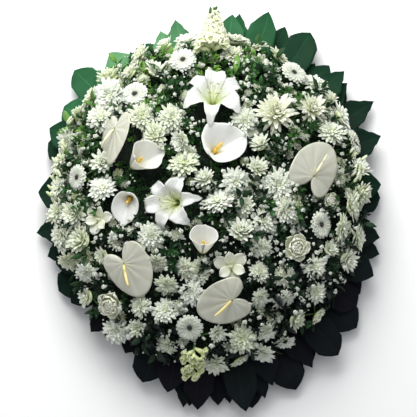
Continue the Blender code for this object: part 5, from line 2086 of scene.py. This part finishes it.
@dataclass
class Studio:
    """The pale floor, the soft lights and the camera of the photograph.

    Attributes:
        elevation: The camera's height over the horizon, in degrees.
        distance: How far the camera stands.
        frame_width: Width of the view at the wreath, in metres.
        sensor: Width of the camera's sensor in millimetres.
        ambient: Strength of the surrounding light.
        floor_size: Half the floor's side.
        aim: Where the lights point.
    """

    elevation: float = 78.0
    distance: float = 8.0
    frame_width: float = 1.1676
    sensor: float = 36.0
    ambient: float = 0.45
    floor_size: float = 12.0
    aim: Triple = (0, 0, 0.1)

    def build(self) -> None:
        """Makes the floor, the lights and the camera."""
        self.floor()
        self.world()
        self.light("key_light", (-0.4, 1.5, 1.75), 1.8, 70.0, (1.0, 1.0, 0.97))
        self.light("fill_light", (0.2, 1.0, 4.0), 3.0, 31.0, (0.97, 0.98, 1.0))
        self.camera()

    def floor(self) -> None:
        """The plain pale floor."""
        shape = bmesh.new()
        bmesh.ops.create_grid(shape, x_segments=1, y_segments=1, size=self.floor_size)
        mesh = bpy.data.meshes.new("floor")
        shape.to_mesh(mesh)
        shape.free()
        floor = bpy.data.objects.new("floor", mesh)
        bpy.context.scene.collection.objects.link(floor)
        recipe = Recipe("pale_floor")
        mesh.materials.append(recipe.surface((0.92, 0.92, 0.92, 1), 0.9))

    def world(self) -> None:
        """The soft surrounding light."""
        world = bpy.data.worlds.new("studio")
        world.use_nodes = True
        shade = world.node_tree.nodes["Background"]
        shade.inputs["Color"].default_value = (0.95, 0.97, 1.0, 1)
        shade.inputs["Strength"].default_value = self.ambient
        bpy.context.scene.world = world

    def light(self, name: str, spot: Triple, size: float, power: float, colour: Colour) -> None:
        """One soft panel light that faces the wreath.

        Args:
            name: Its name.
            spot: Where it hangs.
            size: Its side.
            power: Its power in watts.
            colour: Its colour.
        """
        data = bpy.data.lights.new(name, "AREA")
        data.size = size
        data.energy = power
        data.color = colour
        made = bpy.data.objects.new(name, data)
        bpy.context.scene.collection.objects.link(made)
        made.location = spot
        made.rotation_euler = (Vector(self.aim) - Vector(spot)).to_track_quat("-Z", "Y").to_euler()

    def camera(self) -> None:
        """The camera at the photograph's viewing angle."""
        data = bpy.data.cameras.new("camera")
        data.sensor_width = self.sensor
        data.lens = self.sensor * self.distance / self.frame_width
        made = bpy.data.objects.new("camera", data)
        bpy.context.scene.collection.objects.link(made)
        angle = radians(self.elevation)
        made.location = Vector((0, -cos(angle), sin(angle))) * self.distance
        made.rotation_euler = (radians(90 - self.elevation), 0, 0)
        data.clip_end = 100.0
        bpy.context.scene.camera = made


class Wreath:
    """The whole wreath, built part by part."""

    def __init__(self) -> None:
        """Settles the layout and makes the finishes."""
        self.layout = Layout()
        self.layout.settle()
        self.finishes = Finishes()

    def dress_solids(self) -> None:
        """Gives the board and the foam their finishes."""
        for name, finish in (("backing_board", self.finishes.wood), ("foam_pad", self.finishes.foam)):
            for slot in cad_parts[name].material_slots:
                slot.material = finish

    def build(self) -> None:
        """Builds every sub-assembly in order."""
        self.dress_solids()
        Collar(self.finishes).build()
        Bed(self.layout, self.finishes).build()
        Gypsophila(self.layout, self.finishes).build()
        SprayChrysanthemums(self.layout, self.finishes).build()
        Gerberas(self.finishes).build()
        Callas(self.finishes).build()
        Anthuriums(self.finishes).build()
        Lilies(self.finishes).build()
        CreamFlowers(self.finishes).build()
        Snapdragons(self.finishes).build()


def tidy_meshes() -> None:
    """Removes the templates that nothing uses."""
    for mesh in list(bpy.data.meshes):
        if mesh.users == 0:
            bpy.data.meshes.remove(mesh)


def main() -> None:
    """Builds the wreath and its studio."""
    logging.basicConfig(level=logging.INFO, format="%(message)s")
    Wreath().build()
    Studio().build()
    tidy_meshes()
    bpy.context.scene.view_settings.view_transform = "Standard"


if __name__ == "__main__":
    main()
